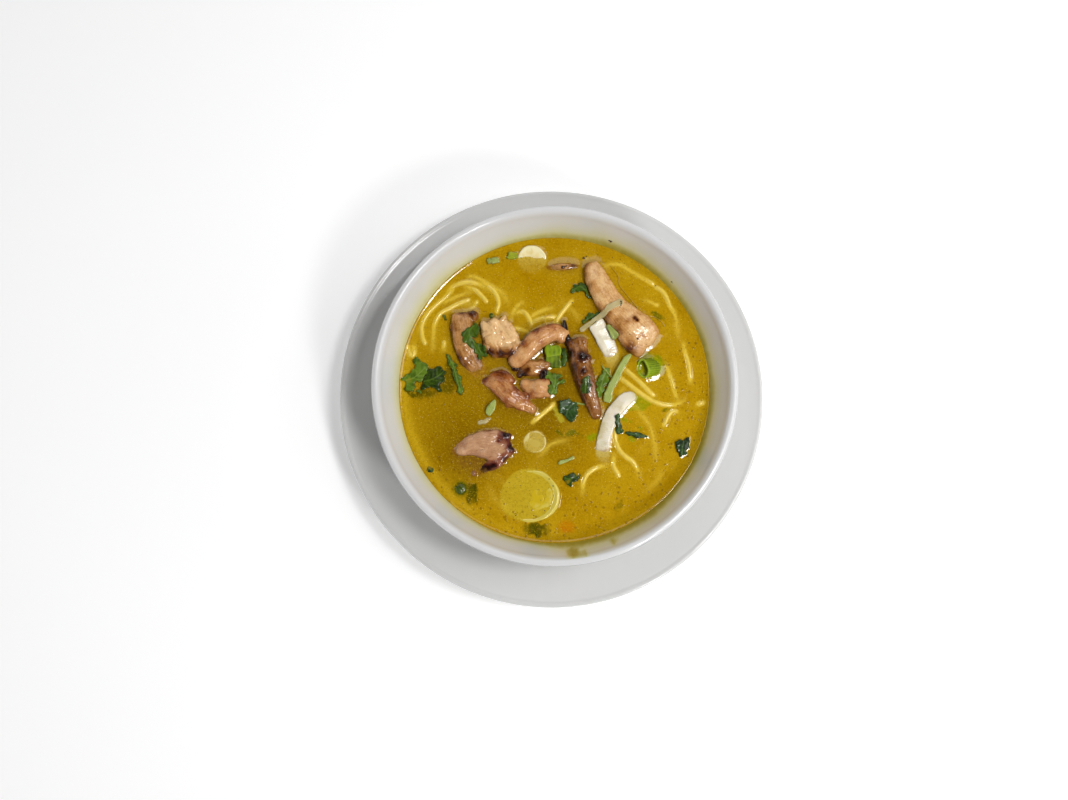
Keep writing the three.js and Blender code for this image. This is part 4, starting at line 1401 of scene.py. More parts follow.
DUSKY_MEAT = Meat("dusky_meat", srgb(210, 166, 126), (
    srgb(190, 142, 104), srgb(142, 82, 56), srgb(88, 30, 18), srgb(34, 10, 8)))
RUDDY_MEAT = Meat("ruddy_meat", srgb(230, 182, 126), (
    srgb(204, 146, 90), srgb(158, 90, 40), srgb(92, 38, 12), srgb(34, 11, 5)))
CHICKEN = (
    Chicken("chicken_left",
        ((-43.7, 34.9, 43), (-42.7, 24.4, 44), (-40.6, 16, 43.6), (-36.8, 9.7, 42), (-33.4, 4.9, 40.8)),
        (5.9, 5.1, 4.9, 4.9, 4.2), (3.2, 3.8, 3.4, 2.6, 1.8),
        lobes=((-38.4, 33.4, 43, 3.0), (-46, 28, 43.2, 3.0)),
        browning=((-43, 36.4, 3, 0.8), (-38, 35, 3, 0.6), (-49, 27, 2.4, 0.4),
                  (-44.6, 13, 2.6, 0.5), (-41, 10, 2.4, 0.45), (-35, 13, 2.4, 0.4)), base_brown=0.45,
        edge_brown=0.3, seed=1.0),
    Chicken("chicken_pale_chunk", ((-30, 31, 43), (-26.2, 25, 44.2), (-22, 18, 43.4)), (3, 4, 3),
        (2.6, 3.4, 3),
        branches=((((-33, 21.4, 43.2), (-28.6, 17, 43.8), (-21, 16.6, 44.4), (-14.4, 20.4, 45)),
                  (2, 2.8, 3, 2.6), (2.4, 3.2, 3.6, 3)),),
        slabs=((((-34.5, 28.6), (-33.8, 31.2), (-31, 30.6), (-28.2, 32.2), (-26.2, 31.4), (-25.2, 26),
               (-24, 18), (-30.6, 17.8), (-33.4, 22)), 40.6, 47.8), (((-25.6, 31), (-23, 33.8), (-21.6, 31),
               (-19.8, 30.4), (-18, 26), (-15.8, 22.4), (-18.6, 19), (-22.8, 17.8), (-24.4, 25)), 40.6,
               46.9)),
        # The strong browning along the lower band is real browning and also painted shade on the steep near
        # flank, which lies in shadow.
        browning=((-34, 20.4, 2.8, 1.0), (-29.6, 15.6, 3.2, 1.3), (-24.4, 14.6, 3.2, 1.3),
                  (-19.6, 14.6, 3, 1.2), (-15.4, 17.6, 2.4, 0.8), (-35, 26, 1.4, 0.5),
                  (-31.4, 32.4, 1.2, 0.4), (-24.6, 25, 0.8, 0.4), (-23.4, 21.6, 0.8, 0.5)), base_brown=-0.05,
        edge_brown=0.0, ragged=0.75, seed=2.0),
    Chicken("chicken_bent_finger",
        ((-17.9, 10.8, 44.6), (-13.6, 15.5, 46), (-8.2, 21.2, 46.6), (-1.2, 24.8, 46), (3.7, 25.7, 44.6)),
        (3.9, 4.4, 4.5, 4.6, 4.3), (3.4, 3.8, 4, 4, 3.4),
        lobes=((3.2, 24.2, 44.6, 4, 3.4), (-17.4, 12, 44.6, 3.8, 3.4)),
        browning=((-9, 26.4, 4, 0.75), (-2, 29.6, 4, 0.65), (-14.6, 19, 2.5, 0.5),
                  (3.6, 30, 3.2, 0.75), (-6, 20, 2.2, 0.3)), base_brown=0.24, edge_brown=0.3, seed=3.0,
        finish=RUDDY_MEAT),
    Chicken("chicken_lump", ((-16.8, 6.6, 42.6), (-9.6, 8.4, 43.6), (-3.4, 7.1, 43)), (2.6, 3.8, 3.2),
        (2, 3.2, 2.6),
        lobes=((-11.4, 10, 44.4, 2.2), (-8.6, 9.6, 44.6, 2.0), (-6, 10.8, 44.2, 2.2),
               (-3.6, 10.4, 43.8, 2.2), (-13.4, 7.4, 43.6, 1.7), (-18, 8.6, 43.6, 1.9),
               (-19.8, 10.6, 43.2, 1.4), (-16.2, 5.4, 43.2, 1.6), (-4.6, 6.2, 44.4, 2.2), (-5, 4, 43.8, 1.8),
               (-8.2, 6.4, 43.6, 1.8)),
        browning=((-18.4, 9, 3.2, 1.3), (-4.4, 5.4, 2.6, 1.9), (-14.4, 5, 2.8, 1.1), (-12, 7.4, 1.4, 0.7)),
        base_brown=0.36, ragged=0.4, seed=4.0, voxel=0.36),
    Chicken("chicken_middle",
        ((-33.5, 3, 42.4), (-26, 0.8, 43.4), (-20.9, -3.9, 43.8), (-15.8, -7.5, 43.2), (-8.6, -12, 42.4)),
        (2.4, 4.4, 4.8, 3.8, 2.6), (1.8, 3, 3.4, 2.8, 1.8),
        branches=((((-30.6, 4.6, 43), (-24, 5.2, 43.8), (-18.6, 1.4, 43.6)), (1.6, 2.4, 2),
                  (1.6, 2.2, 1.8)),),
        lobes=((-13.4, -5, 43.4, 2.6, 2.2), (-20.6, -8, 43, 2.6, 2)),
        browning=((-32.4, 3.4, 2.8, 0.6), (-25, 4, 3, 0.3), (-17.6, -1.4, 3.4, 0.4),
                  (-13, -5.6, 2.8, 0.3), (-22.6, -6.6, 2.4, 0.2)), base_brown=0.42, ragged=0.5, seed=5.0,
        finish=RUDDY_MEAT),
    Chicken("chicken_knob", ((-15.6, 1.3, 42.8), (-11, -0.6, 43.4), (-2.4, -1.6, 43.6)), (2.4, 3.6, 4.6),
        (2, 3.2, 3.8),
        lobes=((-6.6, -1.2, 44, 4.7, 3.9), (-13.4, 1, 43.6, 2.5), (-4.4, 1.6, 44, 2.6),
               (-3, -3, 43.6, 2.4), (-9.6, -3.4, 43.4, 2.6)),
        browning=((-4, 4.4, 2.2, 0.9), (-10.4, -3.4, 1.6, 0.4)), base_brown=0.22, seed=6.0,
        finish=RUDDY_MEAT),
    Chicken("chicken_long_strip",
        ((17.9, 59.6, 43.4), (19.4, 53.2, 44.8), (22.4, 46.4, 45), (26, 39.8, 44.8), (31.4, 33.4, 44.6),
         (37.2, 27.6, 44.8), (45.6, 19.8, 44)),
        (5.0, 6.0, 6.1, 6.5, 7.8, 8.9, 8.4), (3.4, 4, 4.2, 4.2, 4.4, 4.6, 3.8),
        branches=((((38, 33.6, 44), (43, 28.6, 44.8), (47, 23, 44.4)), (3.2, 4, 4), (2.8, 3.4, 3)),
                  (((29, 28.6, 43.8), (35, 20, 44.2), (41.4, 15, 43.6)), (2.6, 3.2, 3), (3, 3.4, 2.8))),
        browning=((14, 58, 3.2, 0.8), (17.6, 63, 3, 0.8), (13.8, 53, 2.4, 0.6), (18, 47, 2, 0.4),
                  (24.4, 33, 4, 0.6), (29.4, 26, 3.6, 0.6), (35, 17.4, 4, 0.75), (42, 14, 3, 0.4),
                  (37.4, 31.4, 1.4, 1.2), (38.6, 30.2, 1.1, 1.2), (41, 23.4, 1.4, 0.45), (50.6, 22, 3, 0.4),
                  (34, 30, 1.6, 0.4), (30, 31, 2.4, 0.35)), base_brown=0.1, edge_brown=0.4, seed=7.0,
        voxel=0.46, bluntness=0.36),
    Chicken("chicken_dark_strip",
        ((11.7, 22.6, 44), (11.9, 12.9, 45), (13.8, 4.9, 44.8), (16, -2.9, 44.2), (20.1, -15.4, 43)),
        (4.6, 4.7, 4.6, 4.0, 3.2), (3.2, 4, 4, 3.6, 2.8), slot="browned_chicken",
        branches=((((4.7, 31.5, 44.2), (5.3, 24.2, 45), (8.8, 17.2, 44.8), (9.6, 8, 44.2),
                  (13, -2, 43.6)), (1.4, 1.9, 2, 2, 1.6), (1.6, 2.2, 2.4, 2.4, 2)), (((9, 20.6, 45),
                  (15.4, 19.4, 45.2)), (3.2, 3.2), (2.4, 2.6))),
        lobes=((12.6, 14.4, 47.4, 2.2), (15.4, 12.6, 46.8, 2.2), (10.6, 13.4, 46.8, 1.8),
               (12.4, 7.4, 47, 1.8)),
        browning=((4.8, 29, 4, 1.2), (5.6, 23, 3, 1.0), (7.4, 15, 2.4, 0.7), (13, 13, 2.6, 1.15),
                  (8.8, 8, 2.2, 0.5), (12, 2, 2.6, 0.35), (13, -6, 2.4, 0.3), (13.4, 6, 1.8, 0.7),
                  (16, 0, 2.6, 0.4), (15, 18.4, 3, -0.25)), base_brown=0.72, edge_brown=0.3, seed=8.0),
    Chicken("chicken_hook",
        ((-46.8, -31.4, 41.8), (-41.5, -28.6, 42.4), (-34, -26.4, 43), (-24.6, -26.6, 43.2)),
        (2.4, 4.2, 5.0, 4.6), (1.6, 2.4, 3, 3), slot="browned_chicken",
        branches=((((-22.6, -30.4, 42.8), (-26, -34.6, 42.8), (-30, -37.4, 42.6),
                  (-35, -40.4, 42.2)), (3, 3, 2.6, 1.6), (2.4, 2.1, 1.8, 1.2)),),
        lobes=((-35, -34, 40.6, 5.4, 1.9), (-41, -33.4, 40.4, 4.4, 1.8), (-21, -23.4, 43.4, 1.5),
               (-19.6, -30, 43.2, 1.5), (-36.4, -40.2, 42.6, 1.4)),
        slabs=((((-45.6, -31), (-39.4, -23.6), (-31.5, -20.4), (-23, -21.2), (-20, -25.2),
               (-19.8, -32), (-24.4, -36), (-29, -36.6), (-32, -33.6), (-38, -32.4)), 40.4, 45.6),),
        browning=((-22, -22.6, 3.6, 1.25), (-19.6, -28.4, 3.2, 1.15), (-22.6, -34, 2.6, 0.9),
                  (-32, -39, 4, 1.3), (-47, -34.6, 2.4, 0.5), (-30, -20, 2.2, 0.5), (-25.6, -25.6, 1.6, 0.6),
                  (-27.6, -37, 2.2, 0.9)), base_brown=0.2, edge_brown=0.2, ragged=0.5, seed=9.0,
        finish=DUSKY_MEAT),
    Chicken("chicken_sliver", ((-3.9, 57.5, 42.2), (4.7, 57.8, 42.7), (12.2, 58.3, 42.4)), (1.2, 1.8, 1.4),
        (0.9, 1.4, 1), slot="browned_chicken", browning=((10, 58.6, 3, 0.7),), base_brown=0.35, seed=10.0,
        voxel=0.3, ragged=0.2),
)


# Thin toppings


@dataclass
class Sheet:
    """A thin piece cut to an outline; its spine gives its height and its veins' direction.

    Carriers are the pieces that it lies on. Ripple is the size of the teeth along its edge, wave the
    height of its waves, and cup how much its sides rise.
    """

    name: str
    outline: Path
    spine: Path
    finish: object
    slot: str = "coriander"
    nodes: tuple[str, ...] = ()
    thickness: float = 0.4
    relief: Relief = Relief.VEINS
    cup: float = 0.0
    wave: float = 0.35
    ripple: float = 0.9
    carriers: tuple[str, ...] = ()
    glow: Glow | None = None
    meniscus: float = 0.22
    spacing: float = 0.36
    tone: float = 0.4
    lift: float = 0.3
    seed: float = 1.0

    def rim(self) -> np.ndarray:
        """The outline, smoothed, with small lobes and teeth.

        Returns:
            Rows of x and y.
        """
        corners = np.array(self.outline)
        length = length_of(np.vstack([corners, corners[:1]]))
        count = max(int(length / 0.3), 12)
        line = smooth_path(self.outline, count, closed=True)
        run = np.roll(line, -1, axis=0) - np.roll(line, 1, axis=0)
        normal = np.column_stack([run[:, 1], -run[:, 0]])
        normal /= np.maximum(np.linalg.norm(normal, axis=1), 1e-6)[:, None]
        flat = np.column_stack([line, np.zeros(count)])
        teeth = 0.8 * rough(flat, 0.9, self.seed + 4) + 1.5 * rough(flat, 2, self.seed)
        return line + normal * (self.ripple * teeth)[:, None]

    def heights(self, piece: bpy.types.Object, heights: np.ndarray, shop: Workshop) -> np.ndarray:
        """Heights of the flat sheet's points once it lies on what carries it.

        Args:
            piece: The sheet, still flat.
            heights: The heights that its spine gives.
            shop: The pieces that may carry it.

        Returns:
            One height for each point.
        """
        flat = points_of(piece)
        if self.carriers:
            beds = [max(shop.top(x + dx, y + dy, self.carriers) for dx, dy in
                        ((0, 0), (0.7, 0), (-0.7, 0), (0, 0.7), (0, -0.7))) for x, y, _ in flat]
            heights = softened(piece, np.maximum(np.array(beds) + self.lift, heights), 6)
        return heights + self.wave * rough(flat, 3.6, self.seed)

    def marks(self, run: np.ndarray, side: np.ndarray) -> np.ndarray:
        """Where veins, ribs or flutes show, from 0 to 1, at places along and beside the spine.

        Args:
            run: Distance along the spine.
            side: Signed distance from the spine.

        Returns:
            One value for each place.
        """
        if self.relief is Relief.VEINS:
            middle = np.exp(-(side / 0.25)**2)
            branches = np.abs(np.sin((run - np.abs(side) * 0.9) * math.pi / VEIN_SPACING))
            return np.maximum(middle, np.exp(-(branches / 0.22)**2) * 0.7)
        if self.relief is Relief.RIBS:
            bend = run + 0.12 * side**2 + 0.5 * np.sin(side * 1.3)
            return 0.5 + 0.5 * np.sin(bend * 2 * math.pi / RIB_SPACING)
        if self.relief is Relief.FLUTES:
            return 0.5 + 0.5 * np.sin(side * 2 * math.pi / FLUTE_SPACING)
        return np.zeros(len(side))

    def build(self, shop: Workshop) -> None:
        """Cut the sheet, raise it, give it a thickness and dress it.

        Args:
            shop: Keeps what is settled and dresses the piece.
        """
        piece = sheet_grid(self.name, self.rim(), self.spacing)
        points = points_of(piece)
        spine = smooth_path(self.spine, 40)
        share, side, row = nearest(points[:, :2], spine)
        marks = self.marks(share * length_of(spine[:, :2]), side)
        heights = self.heights(piece, row[:, 2] + self.cup * side**2, shop)
        points[:, 2] = heights + self.relief.value * marks
        put_points(piece, points)
        write_mask(piece, "vein", marks)
        write_mask(piece, "tone", self.tone + 0.3 * rough(points, 5, self.seed + 6) - 0.12 * marks)
        finish_modifier(piece, "SOLIDIFY", thickness=self.thickness, offset=0)
        shop.settle(piece, self.finish, self.nodes, self.glow, self.meniscus)


DARK_LEAF = LeafFinish("coriander_dark", srgb(66, 92, 14), srgb(24, 40, 2), srgb(104, 134, 40))
DEEP_LEAF = LeafFinish("coriander_deep", srgb(50, 80, 34), srgb(16, 34, 10), srgb(96, 126, 66))
LIGHT_LEAF = LeafFinish("coriander_light", srgb(100, 128, 30), srgb(54, 80, 8), srgb(142, 164, 70))
STALK = LeafFinish("green_stalk", srgb(158, 170, 84), srgb(120, 138, 52), srgb(186, 196, 120))
LIME = LeafFinish("lime_bit", srgb(150, 160, 20), srgb(110, 126, 12), srgb(176, 186, 60))
SPRING_ONION = LeafFinish("spring_onion_leaf", srgb(124, 150, 8), srgb(60, 78, 0), srgb(164, 186, 50))
CABBAGE = WetFood("cabbage_rib", srgb(232, 222, 200), srgb(194, 180, 124), grain=5,
                  roughness=0.26, subsurface=0.3)
THREAD = WetFood("meat_thread", srgb(214, 178, 84), srgb(190, 150, 50), roughness=0.2)
FILM = WetFood("onion_skin", srgb(226, 214, 164), srgb(206, 190, 126), roughness=0.2, alpha=0.5,
               soaked=0.2)
GREEN_GLOW = Glow(srgb(84, 96, 6), 2, 0.95)
DARK_GLOW = Glow(srgb(44, 60, 4), 2.8, 1.0)
LIME_GLOW = Glow(srgb(144, 154, 8), 2.6, 0.95)


def coriander(node: str, outline: Path, spine: Path, finish: LeafFinish = DARK_LEAF,
              **changes: object) -> Sheet:
    """A coriander leaf that stands for one solid."""
    return Sheet(node + "_leaf", outline, spine, finish, "coriander", (node,), glow=DARK_GLOW, **changes)


def stalk(node: str, outline: Path, spine: Path, finish: LeafFinish = STALK, thickness: float = 0.8,
          **changes: object) -> Sheet:
    """A fluted green cut that stands for one solid."""
    return Sheet(node + "_cut", outline, spine, finish, "green_strips", (node,), thickness,
                 Relief.FLUTES, **changes)


def rib(node: str, outline: Path, spine: Path, shown: Colour, **changes: object) -> Sheet:
    """A strip of cabbage rib that stands for one solid, and the colour that shows when it is sunk."""
    return Sheet(node + "_rib", outline, spine, CABBAGE, "cabbage", (node,), 1.5, Relief.RIBS, cup=-0.02,
                 wave=0.15, ripple=0.08, glow=Glow(shown, 1.6, 0.9), meniscus=0.35, **changes)


def sunk(name: str, outline: Path, spine: Path, finish: object = DARK_LEAF, glow: Glow | None = DARK_GLOW,
         **changes: object) -> Sheet:
    """A thin piece in the broth, which stands for no solid."""
    return Sheet(name, outline, spine, finish, glow=glow, **changes)


LEAVES = (
    coriander("coriander_left_light",
        ((-70.4, 3.5), (-67.9, 5.4), (-66, 7.9), (-64.3, 9.7), (-65.1, 11.8), (-64.6, 13.3), (-63.2, 13.4),
         (-61.2, 12.1), (-60.1, 10.2), (-58.4, 8.2), (-58.6, 6.5), (-60.5, 5.3), (-61.1, 2.5), (-60.7, 1.7),
         (-64, 1.5), (-64.2, -0.5), (-64.9, -1.6), (-62.2, -2.6), (-62, -3.5), (-64.6, -3.1), (-66.6, -1.8),
         (-68.1, -1.5), (-68.9, 1.1)),
        ((-70, 2.6, 43.5), (-65, 4, 43.8), (-60, 8.6, 43.9)), LIGHT_LEAF, seed=1.0),
    coriander("coriander_left_dark",
        ((-58.3, 7.8), (-56, 7.4), (-54.1, 8.8), (-52.6, 8.4), (-51.3, 7.7), (-50.9, 6.5), (-51.9, 5),
         (-51.4, 3.5), (-52.4, 1), (-53.3, -2.7), (-54.4, -1.6), (-55.9, -0.5), (-58.4, -1.1), (-60.3, -1.7),
         (-61.4, -0.4), (-60.9, 2), (-60.3, 5.1)),
        ((-61, 2, 44.1), (-56, 3.4, 44.4), (-51.6, 6.6, 43.8)), seed=2.0, tone=0.7, wave=0.5),
    coriander("coriander_folded",
        ((-36.9, 30.8), (-35.8, 29.4), (-34.6, 27.5), (-34.4, 25.5), (-35.7, 23.7), (-37.6, 22.4),
         (-36.1, 20.8), (-34, 19.6), (-32.5, 19), (-31.5, 17.2), (-31, 14.8), (-33.2, 14.4), (-34.4, 12.7),
         (-35.7, 13.9), (-37, 16), (-38.8, 18.3), (-40.8, 19.6), (-42.3, 21.4), (-43.1, 23.7), (-42.1, 25.2),
         (-39.9, 26.8), (-38.4, 27.8), (-37.1, 28.8)),
        ((-36.6, 30, 45), (-39.4, 24.4, 45), (-36, 18.4, 45), (-32.6, 15, 44)),
        carriers=("chicken_left_meat", "chicken_pale_chunk_meat"), seed=3.0, tone=0.2, wave=0.45),
    coriander("coriander_centre",
        ((-4, 5.2), (-2.6, 6.4), (-1.1, 5.3), (0.4, 6.2), (2.2, 5.6), (3.4, 4.8), (2.6, 3.6), (4.2, 2.5),
         (3.9, 0.9), (2.3, 0.4), (1.8, -0.7), (0.4, -1.5), (1.5, -2.4), (-0.2, -4.3), (-1.9, -4.4),
         (-2.6, -3.3), (-2.3, -1.2), (-1.7, 0.4), (-1.5, 2.1), (-2.6, 2.8), (-3.9, 3.6)),
        ((-1.6, -4.6, 43.7), (0.4, 0.6, 44.6), (0.6, 5.6, 44)), LIGHT_LEAF,
        carriers=("chicken_lump_meat", "chicken_knob_meat"), seed=4.0, tone=0.5),
    coriander("coriander_curled",
        ((2.2, -7.5), (4, -6.5), (7.2, -6.8), (9.4, -7.4), (11, -9.6), (10.7, -12.3), (9.3, -14.5),
         (7.2, -16.1), (5.4, -14.5), (4, -12.7), (2.4, -10.1)),
        ((9.6, -8, 43.9), (6.6, -10.6, 44.2), (5.4, -14.6, 43.6)), DEEP_LEAF, cup=0.045, seed=5.0, wave=0.5,
        tone=0.4),
    coriander("coriander_on_dark_strip",
        ((13, 2.7), (14.5, 4.2), (16.1, 2.9), (16.5, 0.1), (16.3, -3.1), (14.5, -4.5), (12.3, -3.1),
         (12.8, 0.1)),
        ((14.6, 4, 45), (14.6, 0, 45), (14.2, -4, 45)), carriers=("chicken_dark_strip_meat",), seed=6.0,
        wave=0.15, tone=0.6),
    coriander("coriander_beside_strip",
        ((19.1, -1.9), (19.4, 1.4), (21.1, 4.7), (23.2, 7.7), (24.9, 8), (26.4, 6.3), (25.8, 3.6),
         (24.3, 0.9), (22.4, -2.3), (20.7, -5.4), (19.4, -4.6)),
        ((24.6, 7.6, 44), (22.4, 2, 44.2), (20.2, -4.8, 44)), LIGHT_LEAF,
        carriers=("chicken_dark_strip_meat",), seed=7.0),
    coriander("coriander_under_film",
        ((13.6, 30), (13.8, 31.3), (14.9, 32.9), (16.5, 34.5), (18.7, 34.9), (20.9, 35.5), (21.5, 34.8),
         (19.7, 33.4), (17.6, 31.8), (15.4, 30.7)),
        ((13.8, 30.2, 43.6), (17.4, 33.2, 43.9), (21.2, 35.2, 44)), seed=8.0, tone=0.4),
    coriander("coriander_curl_top",
        ((8.1, 46.1), (8.4, 47.8), (9.7, 48.7), (11.3, 48.7), (12.3, 49.4), (14.2, 49.5), (15.4, 48.4),
         (15.7, 47), (16.2, 45), (17.3, 43.8), (18.1, 42.7), (17.8, 41.8), (16.4, 41.8), (15.1, 42.8),
         (14.3, 44.7), (13.5, 45.6), (12, 46.1), (10.8, 45.5), (9.8, 46.1), (9, 44.7), (8.3, 44.3)),
        ((8.6, 46, 43.6), (12.6, 47.8, 44), (15, 45.6, 44), (17.4, 42.4, 43.6)), seed=9.0, tone=0.3),
    coriander("coriander_right",
        ((55.8, -27.1), (55.5, -25.5), (57.5, -24.7), (59.3, -24.4), (61.7, -24.2), (61.9, -27.1),
         (61.2, -29.2), (60.4, -31.5), (58.5, -33), (57, -31.9), (56.1, -29.8)),
        ((59.6, -24.6, 43.9), (58.8, -28.4, 44.1), (58.6, -32.6, 43.6)), DEEP_LEAF, seed=10.0, wave=0.55,
        tone=0.7),
    coriander("coriander_lower_blade",
        ((32.4, -21.7), (35.6, -21.3), (38.8, -21.6), (40.9, -22.6), (43, -23.4), (41.9, -24),
         (38.7, -24.3), (36.1, -23.5), (34, -23)),
        ((32.8, -21.9, 43.5), (37.4, -22.7, 44), (42.6, -23.6, 43.7)), DEEP_LEAF, seed=11.0, tone=0.5,
        ripple=0.3),
    coriander("coriander_lower",
        ((3.8, -42), (6.9, -40.2), (11.7, -40.7), (10.2, -42.9), (8.1, -46.1), (6, -45.1), (4.1, -43.5)),
        ((4.4, -42.4, 43.3), (7.6, -43, 43.5), (11, -41, 43.2)), seed=12.0, tone=0.5),
    coriander("coriander_feather",
        ((-50.4, 15.7), (-48.4, 13.8), (-46.6, 11.6), (-45.2, 9.4), (-44.7, 6.6), (-43.3, 4.2),
         (-42.9, 1.4), (-41.9, -1.2), (-42.9, -4.4), (-44.6, -2.4), (-44.9, 0.8), (-46.4, 3.4), (-46.9, 6.6),
         (-48.2, 9.2), (-49.6, 12.2)),
        ((-50.2, 15.4, 43.9), (-47.2, 10.6, 44.2), (-45.6, 5.4, 44.2), (-43.2, -3.8, 43.7)), LIGHT_LEAF,
        seed=13.0, ripple=0.45, tone=0.7),
    coriander("coriander_upright_blade",
        ((29.9, -10.5), (30.4, -11.8), (30.2, -14.5), (30.4, -16.6), (31.1, -18.8), (31.8, -20.9),
         (30.3, -22.1), (28.7, -21.2), (28.4, -18.8), (28.7, -15.6), (29.3, -12.9)),
        ((29.9, -10.6, 46), (29.4, -15.4, 45.2), (30, -21.6, 44)), DEEP_LEAF,
        carriers=("cabbage_lower_rib",), seed=14.0, tone=0.4, lift=0.25),
)

STALKS = (
    stalk("green_strip",
        ((35.9, 14.7), (32.9, 13.9), (30.7, 10.7), (28.5, 6.8), (26.4, 3.1), (24.5, -0.7), (23.2, -3.7),
         (22.6, -6.1), (23.4, -7.5), (25.8, -7.7), (26.7, -6.1), (26.9, -3.2), (28.5, 0.3), (30.2, 3.1),
         (31.7, 6.8), (33.7, 10.4)),
        ((35.6, 14.6, 45.4), (29.6, 6.2, 45.2), (24.6, -7.2, 44.4)), thickness=0.9, wave=0.2, ripple=0.1,
        seed=21.0),
    stalk("green_beside_cabbage",
        ((24.4, 27.8), (25.5, 28.8), (26.8, 27.5), (28.4, 25.9), (29.9, 23.9), (29, 22.3), (27.7, 21.6),
         (26.6, 23.1), (25.6, 25.3)),
        ((25, 28.2, 46.2), (27.2, 25, 46), (28.6, 22, 45.4)), thickness=0.9, wave=0.1, ripple=0.08,
        carriers=("cabbage_upper_rib", "chicken_long_strip_meat"), seed=22.0, tone=0.7),
    stalk("green_sliver_left",
        ((-31.7, -11.9), (-30.7, -9.6), (-28.8, -7.3), (-27.2, -6.4), (-26.9, -8.8), (-27.7, -11.5),
         (-29.6, -13.9), (-30.9, -13.5)),
        ((-27.4, -6.8, 44.2), (-29, -10, 44.4), (-30.6, -13.4, 43.8)), ripple=0.1, seed=23.0),
    stalk("green_sliver_lower",
        ((1.8, -36.3), (2.6, -34.7), (5.5, -34), (8.6, -32.5), (9, -33.4), (6, -35.1), (3.4, -36.1)),
        ((2.2, -35.6, 43.6), (5.6, -34.4, 43.8), (8.8, -32.9, 43.5)), ripple=0.1, seed=24.0),
    stalk("green_chip_top_left",
        ((-31.6, 59.1), (-31.3, 60.6), (-29.3, 62), (-27, 61.7), (-26.7, 60.4), (-28.2, 59), (-30, 58.7)),
        ((-31.4, 59.8, 43.7), (-29, 60.4, 43.9), (-26.8, 61, 43.8)), seed=25.0, tone=0.6),
    stalk("green_chip_top",
        ((-22.5, 62.6), (-21.1, 64.7), (-18.5, 65.2), (-17.2, 64.2), (-17.7, 61.8), (-20, 61.3),
         (-21.8, 61.7)),
        ((-22.2, 62.6, 43.6), (-19.8, 63.2, 43.8), (-17.4, 64, 43.7)), LIME, seed=26.0),
)

CABBAGES = (
    rib("cabbage_upper",
        ((16.6, 27.6), (18.7, 29.6), (22, 31.9), (23.6, 30.1), (24.6, 27.9), (25.8, 25.6), (27.8, 22.4),
         (28.9, 19.6), (29.6, 17.4), (30.2, 13.7), (29.4, 9.4), (27, 7.4), (25.1, 10.5), (23.4, 14.8),
         (21.8, 17.4), (20.3, 20.2), (19.2, 22.9), (17.9, 25.1)),
        ((19.4, 30.6, 45.2), (22.4, 25, 44.3), (25.4, 18.4, 43.2), (27, 13.6, 42.2), (28.2, 8.6, 40.2)),
        srgb(214, 190, 96), seed=31.0, tone=0.25),
    rib("cabbage_lower",
        ((33.9, -2.8), (30.6, -4.1), (27.4, -7.4), (24.7, -10.6), (22.5, -14.9), (20.9, -20.2), (19.7, -25),
         (19, -29.2), (19.6, -32.4), (21.6, -34.8), (24.5, -35.3), (25.4, -32.4), (25.3, -28.2),
         (26.1, -23.9), (27.3, -19.7), (29.4, -15.4), (31.5, -12.7), (33.7, -10.1), (35.9, -7.9),
         (37.5, -5.8), (37.5, -3.9), (35.9, -2.8)),
        ((37, -4, 42.9), (31.4, -7.4, 43.7), (26.4, -14, 44), (23.4, -22.6, 43.8), (22.6, -28.4, 42.9),
         (22, -34.6, 41)), srgb(206, 184, 100), seed=32.0, tone=0.35),
)

